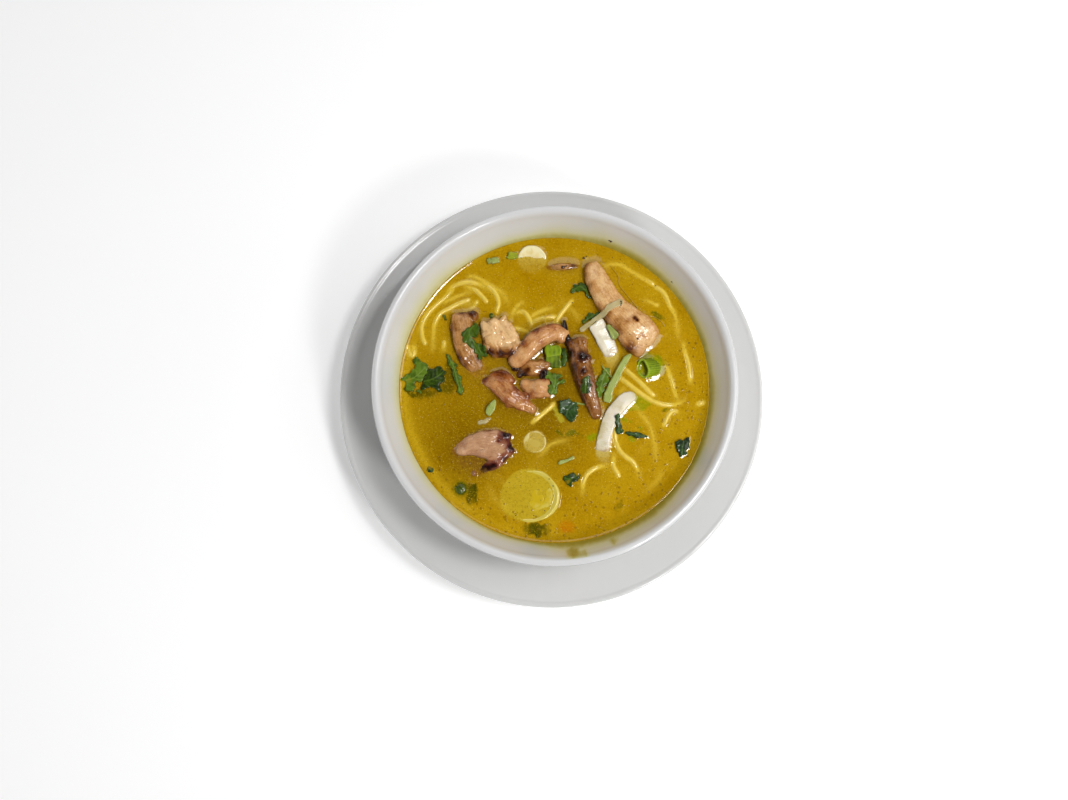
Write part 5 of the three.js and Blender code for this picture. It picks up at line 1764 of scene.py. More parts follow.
SUNK_SHEETS = (
    sunk("coriander_sunk",
        ((-51.3, 10.2), (-48.2, 11.5), (-46.2, 10.7), (-45.5, 6), (-45.6, 1.4), (-47, -2.3), (-50.5, -3),
         (-52.6, -2.2), (-52.1, 1.4), (-51.2, 3.9), (-51.7, 5.5), (-50.7, 7.1)),
        ((-50.6, 9.6, 41.9), (-48.6, 4, 41.6), (-49.6, -2.4, 41.8))),
    sunk("coriander_sunk_left",
        ((-69, -0.1), (-66.7, -1.6), (-64.7, -2.9), (-61.1, -1.2), (-57, -1.6), (-54, -3.4), (-58, -4.8),
         (-64.1, -5.4), (-67.2, -4.1), (-68.9, -1.9)),
        ((-68.6, -1.2, 42.4), (-62, -3.2, 42), (-55, -3.4, 41.8))),
    sunk("leaf_by_pea",
        ((-39.6, -46.4), (-37.5, -45.4), (-35.5, -46.4), (-35, -50.2), (-35.4, -53.6), (-37.4, -54.8),
         (-39.6, -53.6), (-39.8, -50.2)),
        ((-37.4, -45.8, 42.5), (-37.4, -50, 42.3), (-37.4, -54.4, 42.2)), DEEP_LEAF),
    sunk("leaf_at_bottom",
        ((-14.2, -64.9), (-9.7, -62.9), (-5.8, -63.4), (-2.3, -65.4), (-3.8, -68.2), (-8.7, -69),
         (-13.2, -67.8)),
        ((-13, -66, 42.1), (-8.4, -65.6, 42.6), (-3.4, -66.4, 41.8)), DEEP_LEAF),
    sunk("leaf_olive",
        ((30.8, -52.2), (30.8, -54.8), (29.6, -56.9), (27.5, -58.8), (26.3, -57.9), (27.3, -55.4),
         (29.2, -54)),
        ((30.8, -52.6, 42.5), (28.6, -55.8, 42), (27, -58.2, 42)), DARK_LEAF,
        Glow(srgb(96, 88, 6), 1.4, 0.8)),
    sunk("lime_by_cabbage",
        ((33, -9.6), (36, -3.9), (38.7, -4.4), (44.5, -7.1), (45, -8.7), (41.2, -10.9), (37.5, -11),
         (34.3, -11.4)),
        ((33.6, -9.4, 42.3), (38.6, -7.2, 42.4), (44.6, -8.2, 42.2)), LIME, LIME_GLOW),
    sunk("lime_low", ((34.6, -23.8), (36.8, -24), (38, -25.4), (36.2, -26.5)),
        ((34.8, -24, 42.5), (36.2, -24.8, 42.5), (37.8, -25.6, 42.3)), LIME, LIME_GLOW),
    sunk("lime_mid", ((38.2, -18.7), (40.6, -18.4), (41.1, -20), (39.5, -20.8)),
        ((38.4, -19, 42.4), (39.6, -19.4, 42.4), (40.8, -19.6, 42.2)), LIME, LIME_GLOW),
    sunk("lime_right", ((49.7, -11), (52.9, -10.4), (54.2, -11), (51.3, -11.8)),
        ((49.8, -11, 42.5), (52, -11, 42.5), (54, -11, 42.4)), LIME, GREEN_GLOW),
    sunk("lime_inner", ((30, -14.4), (32.7, -14.7), (35.8, -16.3), (33.7, -17.1)),
        ((30.4, -14.8, 42.5), (33, -15.8, 42.5), (35.4, -16.4, 42.4)), LIME, LIME_GLOW),
    sunk("lime_left_of_cabbage", ((14.6, -23.8), (16.7, -22.8), (19.5, -22.5), (19.3, -24.3), (16.1, -25)),
        ((14.8, -24, 42.6), (17, -23.8, 42.7), (19.2, -23.4, 42.6)), LIME, LIME_GLOW),
    sunk("pale_by_curled",
        ((-0.3, -8.8), (1.4, -9.8), (3.3, -13), (4.8, -15.5), (3.5, -16), (1.4, -13.6), (-0.2, -11.2)),
        ((0, -9.4, 42.6), (2, -12.4, 42.7), (4.2, -15.6, 42.6)), LIME, Glow(srgb(196, 184, 50), 1.6, 0.8)),
    sunk("sprig",
        ((1.2, -21.1), (5.6, -22.2), (8.8, -20.6), (13, -22.6), (12.4, -23.8), (8.8, -21.9), (5.6, -23.3),
         (1.2, -22.1)),
        ((1.4, -21.6, 42.4), (6.4, -22.4, 42.6), (12.6, -23.2, 42.4)), DARK_LEAF, GREEN_GLOW, spacing=0.3),
    sunk("green_by_right_strip",
        ((46.2, 35.9), (48.1, 35.7), (50.8, 33.9), (53, 32.8), (51.3, 32.1), (48.6, 32.9)),
        ((46.6, 35.4, 42.5), (49.4, 34, 42.5), (52.4, 32.7, 42.4)), DARK_LEAF, GREEN_GLOW),
    sunk("chip_upper_left",
        ((-53.9, 34.4), (-52.5, 34.6), (-51, 33.4), (-50.6, 31.9), (-52, 32.5), (-53.2, 33.2)),
        ((-53.6, 34.2, 43.2), (-52.2, 33.4, 43.3), (-50.8, 32.4, 43.2)), spacing=0.3),
    sunk("chip_by_chunk", ((-31, 33.8), (-29.6, 34.6), (-27.6, 34.4), (-28.2, 33.1), (-30.1, 32.9)),
        ((-30.8, 33.6, 43.1), (-29.2, 33.8, 43.3), (-27.9, 34, 43.2)), spacing=0.3),
    sunk("sliver_at_wall", ((-57.8, -37.9), (-57.1, -37.5), (-55, -39.7), (-55.2, -40.6), (-56.8, -39.4)),
        ((-57.6, -37.8, 43.2), (-56.2, -39, 43.3), (-55.2, -40.4, 43.2)), DEEP_LEAF, None, spacing=0.3),
    sunk("green_at_tube",
        ((40, 14.5), (45, 15.6), (50, 14), (52.5, 9.5), (50, 5.5), (46, 3.6), (42, 5), (41, 9)),
        ((41, 12, 42.2), (46, 9.6, 42.2), (50, 6.8, 41.8)), LIME, Glow(srgb(118, 138, 6), 2.6, 0.95)),
    sunk("green_between", ((4.4, 9.4), (6.6, 12.6), (6.6, 16.2), (4.6, 17.4), (3.6, 13)),
        ((5.4, 16.8, 43.6), (5.4, 13, 43.9), (4.8, 9.8, 43.4))),
    sunk("onion_flake",
        ((-36, -18.1), (-33.5, -15.9), (-29.1, -14.5), (-30.1, -16.1), (-32.2, -17.4), (-34.2, -17.9)),
        ((-35.6, -17.8, 43.2), (-32.4, -16.4, 43.4), (-29.4, -15, 43.2)), FILM,
        Glow(srgb(206, 178, 96), 1.5, 0.8), slot="leek", relief=Relief.PLAIN),
)


@dataclass(frozen=True)
class Translucent:
    """Layers of onion or leek: rings of two tones that shine and let some light through."""

    name: str
    pale: Colour
    deep: Colour
    roughness: float = 0.16

    def material(self) -> bpy.types.Material:
        """Build the rings from the mask named ring.

        Returns:
            The finished material.
        """
        r = Recipe(self.name)
        clouds = r.noise(3.5, detail=4)
        fine = r.noise(0.5, detail=2)
        share = r.math("ADD", r.mask("ring"), r.ramp(clouds, 0.3, 0.7, -0.3, 0.3))
        base = r.mix(r.ramp(share, 0.1, 0.9), self.pale, self.deep)
        normal = r.bump(fine, 0.05, 0.4)
        return r.surface(base, self.roughness, normal, Subsurface_Weight=0.2,
                         Subsurface_Scale=0.0012, Subsurface_Radius=(1, 0.8, 0.4),
                         Coat_Weight=0.4, Coat_Roughness=0.06)


@dataclass
class Slice:
    """A round slice of onion or leek that floats, tilted, with its rings showing."""

    node: str
    centre: Point
    radii: Point
    finish: Translucent
    thickness: float = 2.6
    tilt: float = 0.0
    lean: float = 0.0
    rings: Point = ()
    rim_rise: float = 0.3
    seed: float = 1.0
    glow: Glow | None = None

    def build(self, shop: Workshop) -> None:
        """Cut the disc, raise its rings, tilt it and dress it.

        Args:
            shop: Keeps what is settled and dresses the piece.
        """
        turn = np.linspace(0, 2 * math.pi, 140, endpoint=False)
        wobble = 1 + 0.025 * np.sin(3 * turn + self.seed) + 0.015 * np.sin(7 * turn)
        outline = np.column_stack([np.cos(turn) * self.radii[0], np.sin(turn) * self.radii[1]])
        piece = sheet_grid(self.node + "_cut", outline * wobble[:, None], 0.3)
        points = points_of(piece)
        share = np.hypot(points[:, 0] / self.radii[0], points[:, 1] / self.radii[1])
        bend = share + 0.03 * rough(points, 5, self.seed)
        ring = sum(np.exp(-((bend - place) / 0.025)**2) for place in self.rings)
        angle = np.arctan2(points[:, 1], points[:, 0])
        rim = np.exp(-((share - 0.92) / 0.07)**2) * (0.6 + 0.4 * np.cos(angle + 0.4))
        heights = self.rim_rise * rim - 0.06 * ring - 2 * np.clip(share - 0.95, 0, 1)
        heights += 0.25 * rough(points, 4, self.seed + 3)
        slope = math.tan(math.radians(self.tilt)), math.tan(math.radians(-self.lean))
        points[:, 2] = heights + points[:, 1] * slope[0] + points[:, 0] * slope[1]
        put_points(piece, points + self.centre)
        write_mask(piece, "ring", np.clip(0.9 - 1.1 * bend**2 + 0.3 * ring, 0, 1))
        finish_modifier(piece, "SOLIDIFY", thickness=self.thickness, offset=-1)
        shop.settle(piece, self.finish, (self.node,), self.glow, 0.3)


@dataclass
class Pea:
    """A garden pea with a slightly wrinkled skin, afloat by the bowl's wall."""

    centre: Point = (-42.8, -47.5, 40.05)
    radius: float = 3.85
    wrinkle: float = 0.045
    dent: float = 0.05

    def build(self, shop: Workshop) -> None:
        """Round it, wrinkle it and dress it.

        Args:
            shop: Keeps what is settled and dresses the piece.
        """
        seed = added(bpy.ops.mesh.primitive_ico_sphere_add, subdivisions=5, radius=1)
        piece = joined("pea_seed", [seed])
        unit = points_of(piece)
        folds = np.abs(rough(unit, (0.5, 0.22, 0.5), 4)) * 0.5 + 0.4 * rough(unit, 0.9, 5)
        dent = self.dent * np.exp(-((unit[:, 0] * 0.7 + unit[:, 1] * 0.7) / 0.12)**2)
        size = self.radius * (1 - self.wrinkle * folds - dent * (unit[:, 2] > 0))
        put_points(piece, unit * size[:, None] + self.centre)
        write_mask(piece, "tone", 0.4 + 0.4 * rough(unit, 0.8, 7))
        finish = WetFood("pea_skin", srgb(66, 86, 4), srgb(38, 56, 0), subsurface=0.2, soaked=0.15)
        shop.settle(piece, finish, ("pea",), Glow(srgb(62, 80, 4), 6, 1.0), 0.3)


@dataclass
class SpringOnionTube:
    """A hollow cut of spring onion leaf, flattened; its open end stands out of the broth."""

    start: Point = (41, 8, 45.1)
    half_width: float = 4.6
    half_height: float = 3.1
    wall: float = 0.9
    length: float = 9.5
    slant: float = 0.3
    dip: float = math.radians(32)
    heading: float = math.radians(14)

    def placed(self, run: np.ndarray, across: np.ndarray, up: np.ndarray) -> np.ndarray:
        """Points in the bowl's frame from places along, across and above the tube's own line.

        Args:
            run: Distance along the tube.
            across: Distance to its side.
            up: Distance above its middle.

        Returns:
            Rows of x, y and z.
        """
        ahead = run * math.cos(self.dip) + up * math.sin(self.dip)
        x = ahead * math.cos(self.heading) - across * math.sin(self.heading)
        y = ahead * math.sin(self.heading) + across * math.cos(self.heading)
        return np.column_stack([x, y, up * math.cos(self.dip) - run * math.sin(self.dip)]) + self.start

    def build(self, shop: Workshop) -> None:
        """Bore a tube, cut its open end slantwise, dip it and dress it.

        Args:
            shop: Keeps what is settled and dresses the piece.
        """
        pipe = added(bpy.ops.mesh.primitive_cylinder_add, vertices=72, radius=1, depth=1,
                     end_fill_type="NOTHING")
        piece = joined("spring_onion_tube_cut", [pipe])
        with editing():
            bpy.ops.mesh.select_all(action="SELECT")
            bpy.ops.mesh.subdivide(number_cuts=24)
        unit = points_of(piece)
        angle = np.arctan2(unit[:, 1], unit[:, 0])
        share = unit[:, 2] + 0.5
        wobble = 1 + 0.03 * np.sin(3 * angle + 3 * share)
        across = (self.half_width - self.wall / 2) * wobble * np.cos(angle)
        up = (self.half_height - self.wall / 2) * wobble * np.sin(angle)
        run = share * self.length + self.slant * up * (1 - share) + 0.2 * np.sin(4 * angle) * (1 - share)
        put_points(piece, self.placed(run, across, up))
        finish_modifier(piece, "SOLIDIFY", thickness=self.wall, offset=0)
        run, across, up, angle, share = (np.tile(row, 2) for row in (run, across, up, angle, share))
        gap = points_of(piece) - self.placed(run, across, up)
        outward = self.placed(run * 0, np.cos(angle), np.sin(angle)) - self.start
        inner = (gap * outward).sum(1) < 0
        rim = np.clip(1 - share * 9, 0, 1)
        write_mask(piece, "vein", 0.4 + 0.4 * np.sin(angle * 26) + rim)
        # Painted shade: the inside of the hollow tube is darker.
        write_mask(piece, "tone", 0.3 + 0.4 * np.sin(angle + 1) + 1.2 * inner - rim)
        shop.settle(piece, SPRING_ONION, ("spring_onion_tube",), LIME_GLOW, 0.7)


@dataclass
class SpringOnionCut:
    """A squarish cut of spring onion leaf, creased along its middle and tilted."""

    outline: Path = ((-4.2, 10.2), (-3.6, 13.2), (-4.4, 16.6), (-3.4, 18.9), (-0.6, 18.6), (2.2, 18.6),
                     (3.4, 16.4), (2.8, 13.2), (3.6, 10.4), (2.4, 8.8), (-0.8, 8.8))
    middle: Point = (-0.3, 13.9)
    height: float = 45.4
    half_width: float = 4.8
    crease: float = 1.1
    turn: float = math.radians(9)
    tilt: float = math.radians(18)

    def build(self, shop: Workshop) -> None:
        """Cut it, fold it along its crease and dress it.

        Args:
            shop: Keeps what is settled and dresses the piece.
        """
        piece = sheet_grid("spring_onion_quad_cut", smooth_path(self.outline, 130, closed=True), 0.3)
        points = points_of(piece)
        x, y = points[:, 0] - self.middle[0], points[:, 1] - self.middle[1]
        across = y * math.cos(self.turn) - x * math.sin(self.turn)
        crease = self.crease * (1 - np.abs(across) / self.half_width)
        lift = math.tan(self.tilt) * across
        points[:, 2] = self.height + crease + lift + 0.12 * rough(points, 2.5, 3)
        put_points(piece, points)
        write_mask(piece, "vein", np.maximum(np.exp(-(across / 0.3)**2), 0.4 * np.sin(x * 9)**2))
        write_mask(piece, "tone", 0.25 + 0.45 * (across < 0) + 0.2 * rough(points, 2, 9))
        finish_modifier(piece, "SOLIDIFY", thickness=1.0, offset=-1)
        shop.settle(piece, SPRING_ONION, ("spring_onion_quad",), LIME_GLOW, 0.3)


@dataclass
class Fibres:
    """Hair-thin fibres and stems, each a round thread along its path.

    A row gives the name, the path, the radius, the finish and the slot.
    """

    rows: tuple[tuple[str, Path, float, object, str], ...] = (
        ("fibre_long", ((26.7, 58.4, 43.3), (30.4, 53.3, 43.4), (30.9, 48.9, 43.4), (34.6, 43.8, 43.4),
                        (38.9, 38.1, 43.6), (39.1, 35.4, 44.2)), 0.14, THREAD, "chicken"),
        ("fibre_right", ((42.6, 33.8, 44), (47.4, 33.1, 43.4), (51.1, 30.4, 43.3), (52.1, 28.2, 42.9)),
         0.14, THREAD, "chicken"),
        ("whisker", ((-3.4, 28.4, 47.6), (-4.4, 31.2, 47.2), (-2.6, 33.2, 46.2), (-0.2, 33.6, 45.2)),
         0.16, THREAD, "chicken"),
        ("curled_stem", ((9.4, -7.6, 43.4), (12, -8.2, 43.4), (14.8, -8.6, 43.6)), 0.45, STALK, "coriander"),
        ("strip_stem", ((22.2, 9.8, 43.6), (24.3, 6.8, 44.2), (26.5, 4.2, 44.8)), 0.4, STALK, "coriander"),
    )

    def build(self, shop: Workshop, noodles: Noodles) -> None:
        """Draw each thread and dress it.

        Args:
            shop: Keeps what is settled and dresses the piece.
            noodles: Draws the round threads.
        """
        for name, path, radius, finish, slot in self.rows:
            piece = joined(name, [noodles.tubes([(smooth_path(path, 40), radius)])])
            write_mask(piece, "tone", 0.4)
            shop.settle(piece, finish, meniscus=0.12)


@dataclass
class Specks:
    """Ground pepper and char crumbs on the food, the broth and the wall.

    A place gives x, y and the radius, and the height where it isn't that of what lies there.
    """

    places: Path = (
        (4.3, 57.3, 0.9), (5.9, 57.9, 0.5), (14.3, 62.1, 0.75), (15.6, 63, 0.4), (28, 62.3, 0.35),
        (43.6, 56.3, 0.3), (31.1, 39, 0.5), (31.2, 38.1, 0.45), (31, 37.2, 0.4), (30.6, 36.5, 0.3),
        (38.6, 21.5, 0.5), (35, 23.6, 0.3), (41.6, 27, 0.28), (8.7, 40.2, 0.4), (48.1, 48.4, 0.35),
        (63.2, 20.7, 0.4), (-32.9, 35.7, 0.3), (27, 68.9, 0.8, 47.4), (26.2, 69.2, 0.5, 47.6),
        (55.3, 49.1, 0.5, 47.3), (55.9, 48.7, 0.35, 47.2), (-0.6, -46.2, 0.35), (-2.4, -43, 0.3),
        (-4.4, -57.4, 0.35), (-9.4, -59.6, 0.3), (-17.6, -59.4, 0.3), (-15.4, -46, 0.25),
        (-6.2, -52.6, 0.25), (-50.6, -8.6, 0.3), (-20.6, -44.6, 0.3), (2.6, 50.4, 0.3))
    scattered: int = 150
    reach: float = 69.0
    finest: float = 0.08
    coarsest: float = 0.2

    def build(self, shop: Workshop) -> None:
        """Set each speck on what lies under it, and scatter finer ones.

        Args:
            shop: Keeps what is settled and dresses the piece.
        """
        random = np.random.default_rng(11)
        rows = [place if len(place) > 3 else (*place, shop.top(*place[:2])) for place in self.places]
        for _ in range(self.scattered):
            turn, reach = random.uniform(0, 2 * math.pi), self.reach * math.sqrt(random.uniform())
            x, y = reach * math.cos(turn), reach * math.sin(turn)
            rows.append((x, y, random.uniform(self.finest, self.coarsest), shop.top(x, y)))
        parts = []
        for x, y, size, z in rows:
            part = added(bpy.ops.mesh.primitive_ico_sphere_add, subdivisions=2, radius=1)
            unit = points_of(part)
            grown = unit * (1 + 0.35 * rough(unit + (x, y, 0), 0.9, 2))[:, None]
            sides = (size, size * random.uniform(0.6, 1), size * 0.6)
            put_points(part, grown * sides + (x, y, z + 0.1 * size))
            parts.append(part)
        piece = joined("pepper_specks", parts)
        write_mask(piece, "tone", 0.5)
        finish = WetFood("ground_pepper", srgb(70, 40, 16), srgb(24, 14, 6), soaked=0.0)
        shop.settle(piece, finish)


@dataclass
class Carrot:
    """A small sunk piece of carrot."""

    outline: Path = ((1.7, -64.6), (3.8, -62.3), (6.5, -62.3), (9.1, -64.1), (8.5, -66.7), (4.9, -67.2),
                     (2.3, -66.1))
    top: float = 42.2
    thickness: float = 2.0

    def build(self, shop: Workshop) -> None:
        """Cut the piece and sink it.

        Args:
            shop: Keeps what is settled and dresses the piece.
        """
        piece = sheet_grid("carrot_cut", smooth_path(self.outline, 90, closed=True), 0.4)
        points = points_of(piece)
        points[:, 2] = self.top + 0.3 * rough(points, 2, 2)
        put_points(piece, points)
        write_mask(piece, "tone", 0.4)
        finish_modifier(piece, "SOLIDIFY", thickness=self.thickness, offset=-1)
        finish = WetFood("carrot_flesh", srgb(226, 120, 20), srgb(190, 86, 4))
        shop.settle(piece, finish, (), Glow(srgb(200, 106, 0), 1.6, 0.9), 0)


@dataclass
class Broth:
    """The liquid: its surface climbs a little at every piece and at the wall.

    A shade_and_depth entry gives x, y, the reach and how much it dims the liquid there: darker patches that
    are painted shade, mainly among the pieces and on the left and lower left, and partly the liquid's own
    deeper tone. A ring of golden oil gives its radius, width and strength. The first is broad and lies on
    the left. Two depths bound each layer of broth, and what lies deeper in it shows more blurred.
    """

    spacing: float = 0.36
    base: Colour = srgb(190, 146, 0)
    deep: Colour = srgb(168, 122, 0)
    golden: Colour = srgb(208, 170, 30)
    shade_and_depth: Path = ((-50, -6, 26, 0.2), (-42, -30, 22, 0.42), (0, -16, 20, 0.36), (8, 52, 18, 0.12),
                   (4, -44, 24, 0.1), (-16, 2, 22, 0.34), (10, 14, 16, 0.3), (4, -2, 12, 0.2))
    oil_rings: Path = ((69, 2.2, 0.75), (66.3, 0.35, 0.3), (64.2, 0.3, 0.25))
    oil_middle: float = 200.0
    oil_spread: float = 75.0
    drop_reach: float = 52.0
    drop_turns: Point = (-150, 20)
    depths: Path = ((-90, 0.7), (0.7, 1.8), (1.8, 5))
    halo_depth: float = 3.0
    floor_rings: Point = (40.5, 37, 33, 29, 25, 21, 18, 16)
    lookout: float = 90.0
    surround: float = 7.0
    wall_climb: float = 0.8
    wall_reach: float = 1.5
    wetted: float = 0.75
    outline_points: int = 400

    def own_tint(self, x: np.ndarray, y: np.ndarray) -> np.ndarray:
        """The liquid's colours: cloudy, dimmer in places with painted shade, with golden oil along the wall.

        Args:
            x: Places to the right over the square.
            y: Places away from the diner.

        Returns:
            A colour for each place.
        """
        spots = np.column_stack([x.ravel(), y.ravel(), np.zeros(x.size)])
        clouds = rough(spots, 17, 3).reshape(x.shape)
        flecks = rough(spots, 5, 6).reshape(x.shape)
        share = np.clip(0.5 + 0.55 * clouds + 0.3 * flecks, 0, 1)[..., None]
        tint = blended(blended(np.array(self.deep), self.golden, share), self.base, 0.5)
        # Painted shade, partly the liquid's own deeper tone: darken the listed patches.
        for px, py, reach, power in self.shade_and_depth:
            dim = power * np.exp(-((x - px)**2 + (y - py)**2) / reach**2)
            tint *= (1 - dim)[..., None] ** np.array((1, 1.08, 1.3))
        radius, turn = np.hypot(x, y), np.degrees(np.arctan2(y, x)) % 360
        left = np.clip(1 - np.abs(turn - self.oil_middle) / self.oil_spread, 0, 1)
        broad, outer, inner = [power * np.exp(-((radius - middle) / width)**2)
                               for middle, width, power in self.oil_rings]
        oil = np.maximum(broad * left, (outer + inner) * (0.5 + 0.5 * flecks))[..., None]
        return blended(tint, self.golden, oil)

    def tops(self, layer: Layer, ticks: np.ndarray) -> tuple[np.ndarray, tuple[slice, slice]]:
        """Heights of a settled piece seen from above, and the part of the square round it.

        Args:
            layer: The settled piece.
            ticks: Distances along the square's sides.

        Returns:
            The heights, FAR_DOWN where it is missing, and the part of the square.
        """
        count = len(ticks)
        low = np.clip(np.searchsorted(ticks, layer.low[:2]) - 1, 0, count - 1)
        high = np.clip(np.searchsorted(ticks, layer.high[:2]) + 1, 0, count - 1)
        tops = np.full((count, count), FAR_DOWN)
        for i in range(low[0], high[0] + 1):
            for j in range(low[1], high[1] + 1):
                above = Vector((ticks[i], ticks[j], self.lookout))
                hit = layer.tree.ray_cast(above, Vector((0, 0, -1)))[0]
                if hit:
                    tops[i, j] = hit.z
        pad = int(self.surround / self.spacing)
        return tops, tuple(slice(max(a - pad, 0), min(b + pad, count)) for a, b in zip(low, high))

    def shown_through(self, tint: np.ndarray, glow: Glow, depth: np.ndarray,
                      box: tuple[slice, slice]) -> np.ndarray:
        """The tint with a piece's colour where it lies under the broth, and its halo round it, which is
        partly sunk meat and partly painted shade.

        Args:
            tint: The tint so far.
            glow: How the piece shows.
            depth: How deep its top lies at each place.
            box: The part of the square round the piece.

        Returns:
            The new tint.
        """
        for near, far in self.depths:
            band = (depth > near) & (depth <= far)
            if band.any():
                power = glow.strength * np.exp(-np.maximum(depth, 0) / glow.depth)
                reach = (0.26 + 0.45 * max(0, near + 0.3)) / self.spacing
                weight = spread_in(np.where(band, power, 0), box, reach)[..., None]
                tint = blended(tint, glow.colour, weight)
        # Partly painted shade: a brownish halo round the piece, which is also sunk meat seen through the
        # broth.
        if glow.sunk_and_shade_halo:
            round_it = (depth < self.halo_depth).astype(float)
            weight = spread_in(round_it, box, glow.halo_reach / self.spacing)
            weight = np.clip(glow.sunk_and_shade_halo * 1.6 * weight, 0, 0.9)[..., None]
            tint = blended(tint, glow.sunk_and_shade_colour, weight)
        return tint

    def climb(self, rise: np.ndarray, tall: np.ndarray, ticks: np.ndarray, box: tuple[slice, slice],
              meniscus: float) -> None:
        """Raise the surface round a piece that stands out of the broth.

        Args:
            rise: The rise over the square, which is changed.
            tall: Rows of the places where the piece stands out.
            ticks: Distances along the square's sides.
            box: The part of the square round the piece.
            meniscus: How high the broth climbs at it.
        """
        tree = kdtree.KDTree(len(tall))
        for i, j in tall:
            tree.insert((ticks[i], ticks[j], 0), 0)
        tree.balance()
        decay = 0.5 + 2.2 * meniscus
        for i in range(box[0].start, box[0].stop):
            for j in range(box[1].start, box[1].stop):
                gap = tree.find((ticks[i], ticks[j], 0))[2]
                rise[i, j] = max(rise[i, j], meniscus * math.exp(-gap / decay))

    def fields(self, shop: Workshop, half: float) -> tuple[np.ndarray, np.ndarray, np.ndarray]:
        """Look down on every settled piece.

        Args:
            shop: The pieces.
            half: Half the side of the square that is looked at.

        Returns:
            Fields over the square: the surface's rise, its ceiling under emerging pieces, its tint.
        """
        ticks = np.linspace(-half, half, int(2 * half / self.spacing) + 1)
        tint = self.own_tint(*np.meshgrid(ticks, ticks, indexing="ij"))
        rise = np.zeros(tint.shape[:2])
        ceiling = np.full(rise.shape, FAR_UP)
        for layer in sorted(shop.layers, key=lambda item: item.high[2]):
            tops, box = self.tops(layer, ticks)
            out = tops > SOUP_LEVEL
            limit = SOUP_LEVEL + self.wetted * layer.meniscus
            tall = tops > limit
            ceiling = np.where(out, np.minimum(ceiling, tops - 0.3), ceiling)
            ceiling[out & (tops < limit)] = FAR_UP
            if layer.glow:
                tint = self.shown_through(tint, layer.glow, SOUP_LEVEL - tops, box)
            if layer.meniscus and tall.any():
                self.climb(rise, np.argwhere(tall), ticks, box, layer.meniscus)
        return rise, ceiling, tint

    def build(self, shop: Workshop, bowl: Bowl) -> None:
        """Shape the surface, close it along the wall and dress it.

        Args:
            shop: Keeps what is settled and dresses the piece.
            bowl: The bowl that holds it.
        """
        wall = float(bowl.wall_radius(SOUP_LEVEL))
        edge = wall + 0.6
        turn = np.linspace(0, 2 * math.pi, self.outline_points, endpoint=False)
        outline = np.column_stack([np.cos(turn), np.sin(turn)]) * edge
        piece = sheet_grid("broth_liquid", outline, self.spacing)
        half = edge + 2
        rise, ceiling, tint = self.fields(shop, half)
        points = points_of(piece)
        last = len(rise) - 1
        rows = np.rint((points[:, :2] + half) / (2 * half) * last).astype(int)
        i, j = np.clip(rows, 0, last).T
        reach = from_axis(points)
        climb = self.wall_climb * np.exp(-np.maximum(wall + 0.3 - reach, 0) / self.wall_reach)
        points[:, 2] = np.minimum(SOUP_LEVEL + np.maximum(rise[i, j], climb), ceiling[i, j])
        put_points(piece, points)
        turn = np.degrees(np.arctan2(points[:, 1], points[:, 0]))
        self.close(piece, bowl, len(points))
        colours = np.ones((len(piece.data.vertices), 4))
        colours[:, :3] = self.base
        colours[:len(points), :3] = tint[i, j]
        attribute = piece.data.attributes.new("tint", "FLOAT_COLOR", "POINT")
        attribute.data.foreach_set("color", colours.astype(np.float32).ravel())
        oil = np.zeros(len(colours))
        start, end = self.drop_turns
        oil[:len(points)] = (reach > self.drop_reach) * ((turn < end) & (turn > start))
        write_mask(piece, "oil", oil)
        shop.settle(piece, BrothFinish(), ("broth",))

    def close(self, piece: bpy.types.Object, bowl: Bowl, count: int) -> None:
        """Carry the surface's edge down along the wall and fill the bottom.

        Args:
            piece: The open surface.
            bowl: The bowl that holds it.
            count: How many points the open surface has.
        """
        activate(piece)
        choose(piece, np.isin(np.arange(count), border(piece)))
        for height in self.floor_rings:
            with editing():
                bpy.ops.mesh.extrude_region_move(TRANSFORM_OT_translate={"value": (0, 0, -1)})
            points = points_of(piece)
            fresh = np.zeros(len(points), bool)
            piece.data.vertices.foreach_get("select", fresh)
            size = float(bowl.wall_radius(height)) + 0.4
            points[fresh, :2] *= (size / from_axis(points[fresh]))[:, None]
            points[fresh, 2] = height
            put_points(piece, points)
        with editing():
            bpy.ops.mesh.edge_face_add()
            bpy.ops.mesh.select_all(action="SELECT")
            bpy.ops.mesh.normals_make_consistent(inside=False)


def spread_in(values: np.ndarray, box: tuple[slice, slice], reach: float) -> np.ndarray:
    """Blur only the boxed part of a field, and leave the rest at zero.

    Args:
        values: The field.
        box: The part to blur.
        reach: How wide to blur, in steps of the field.

    Returns:
        The blurred field.
    """
    result = np.zeros_like(values)
    part = values[box]
    half = int(3 * reach) + 1
    kernel = np.exp(-0.5 * (np.arange(-half, half + 1) / reach)**2)
    kernel /= kernel.sum()
    wide = np.pad(part, half)
    for _ in range(2):
        wide = np.apply_along_axis(np.convolve, 0, wide, kernel, mode="same").T
    result[box] = wide[half:-half, half:-half]
    return result


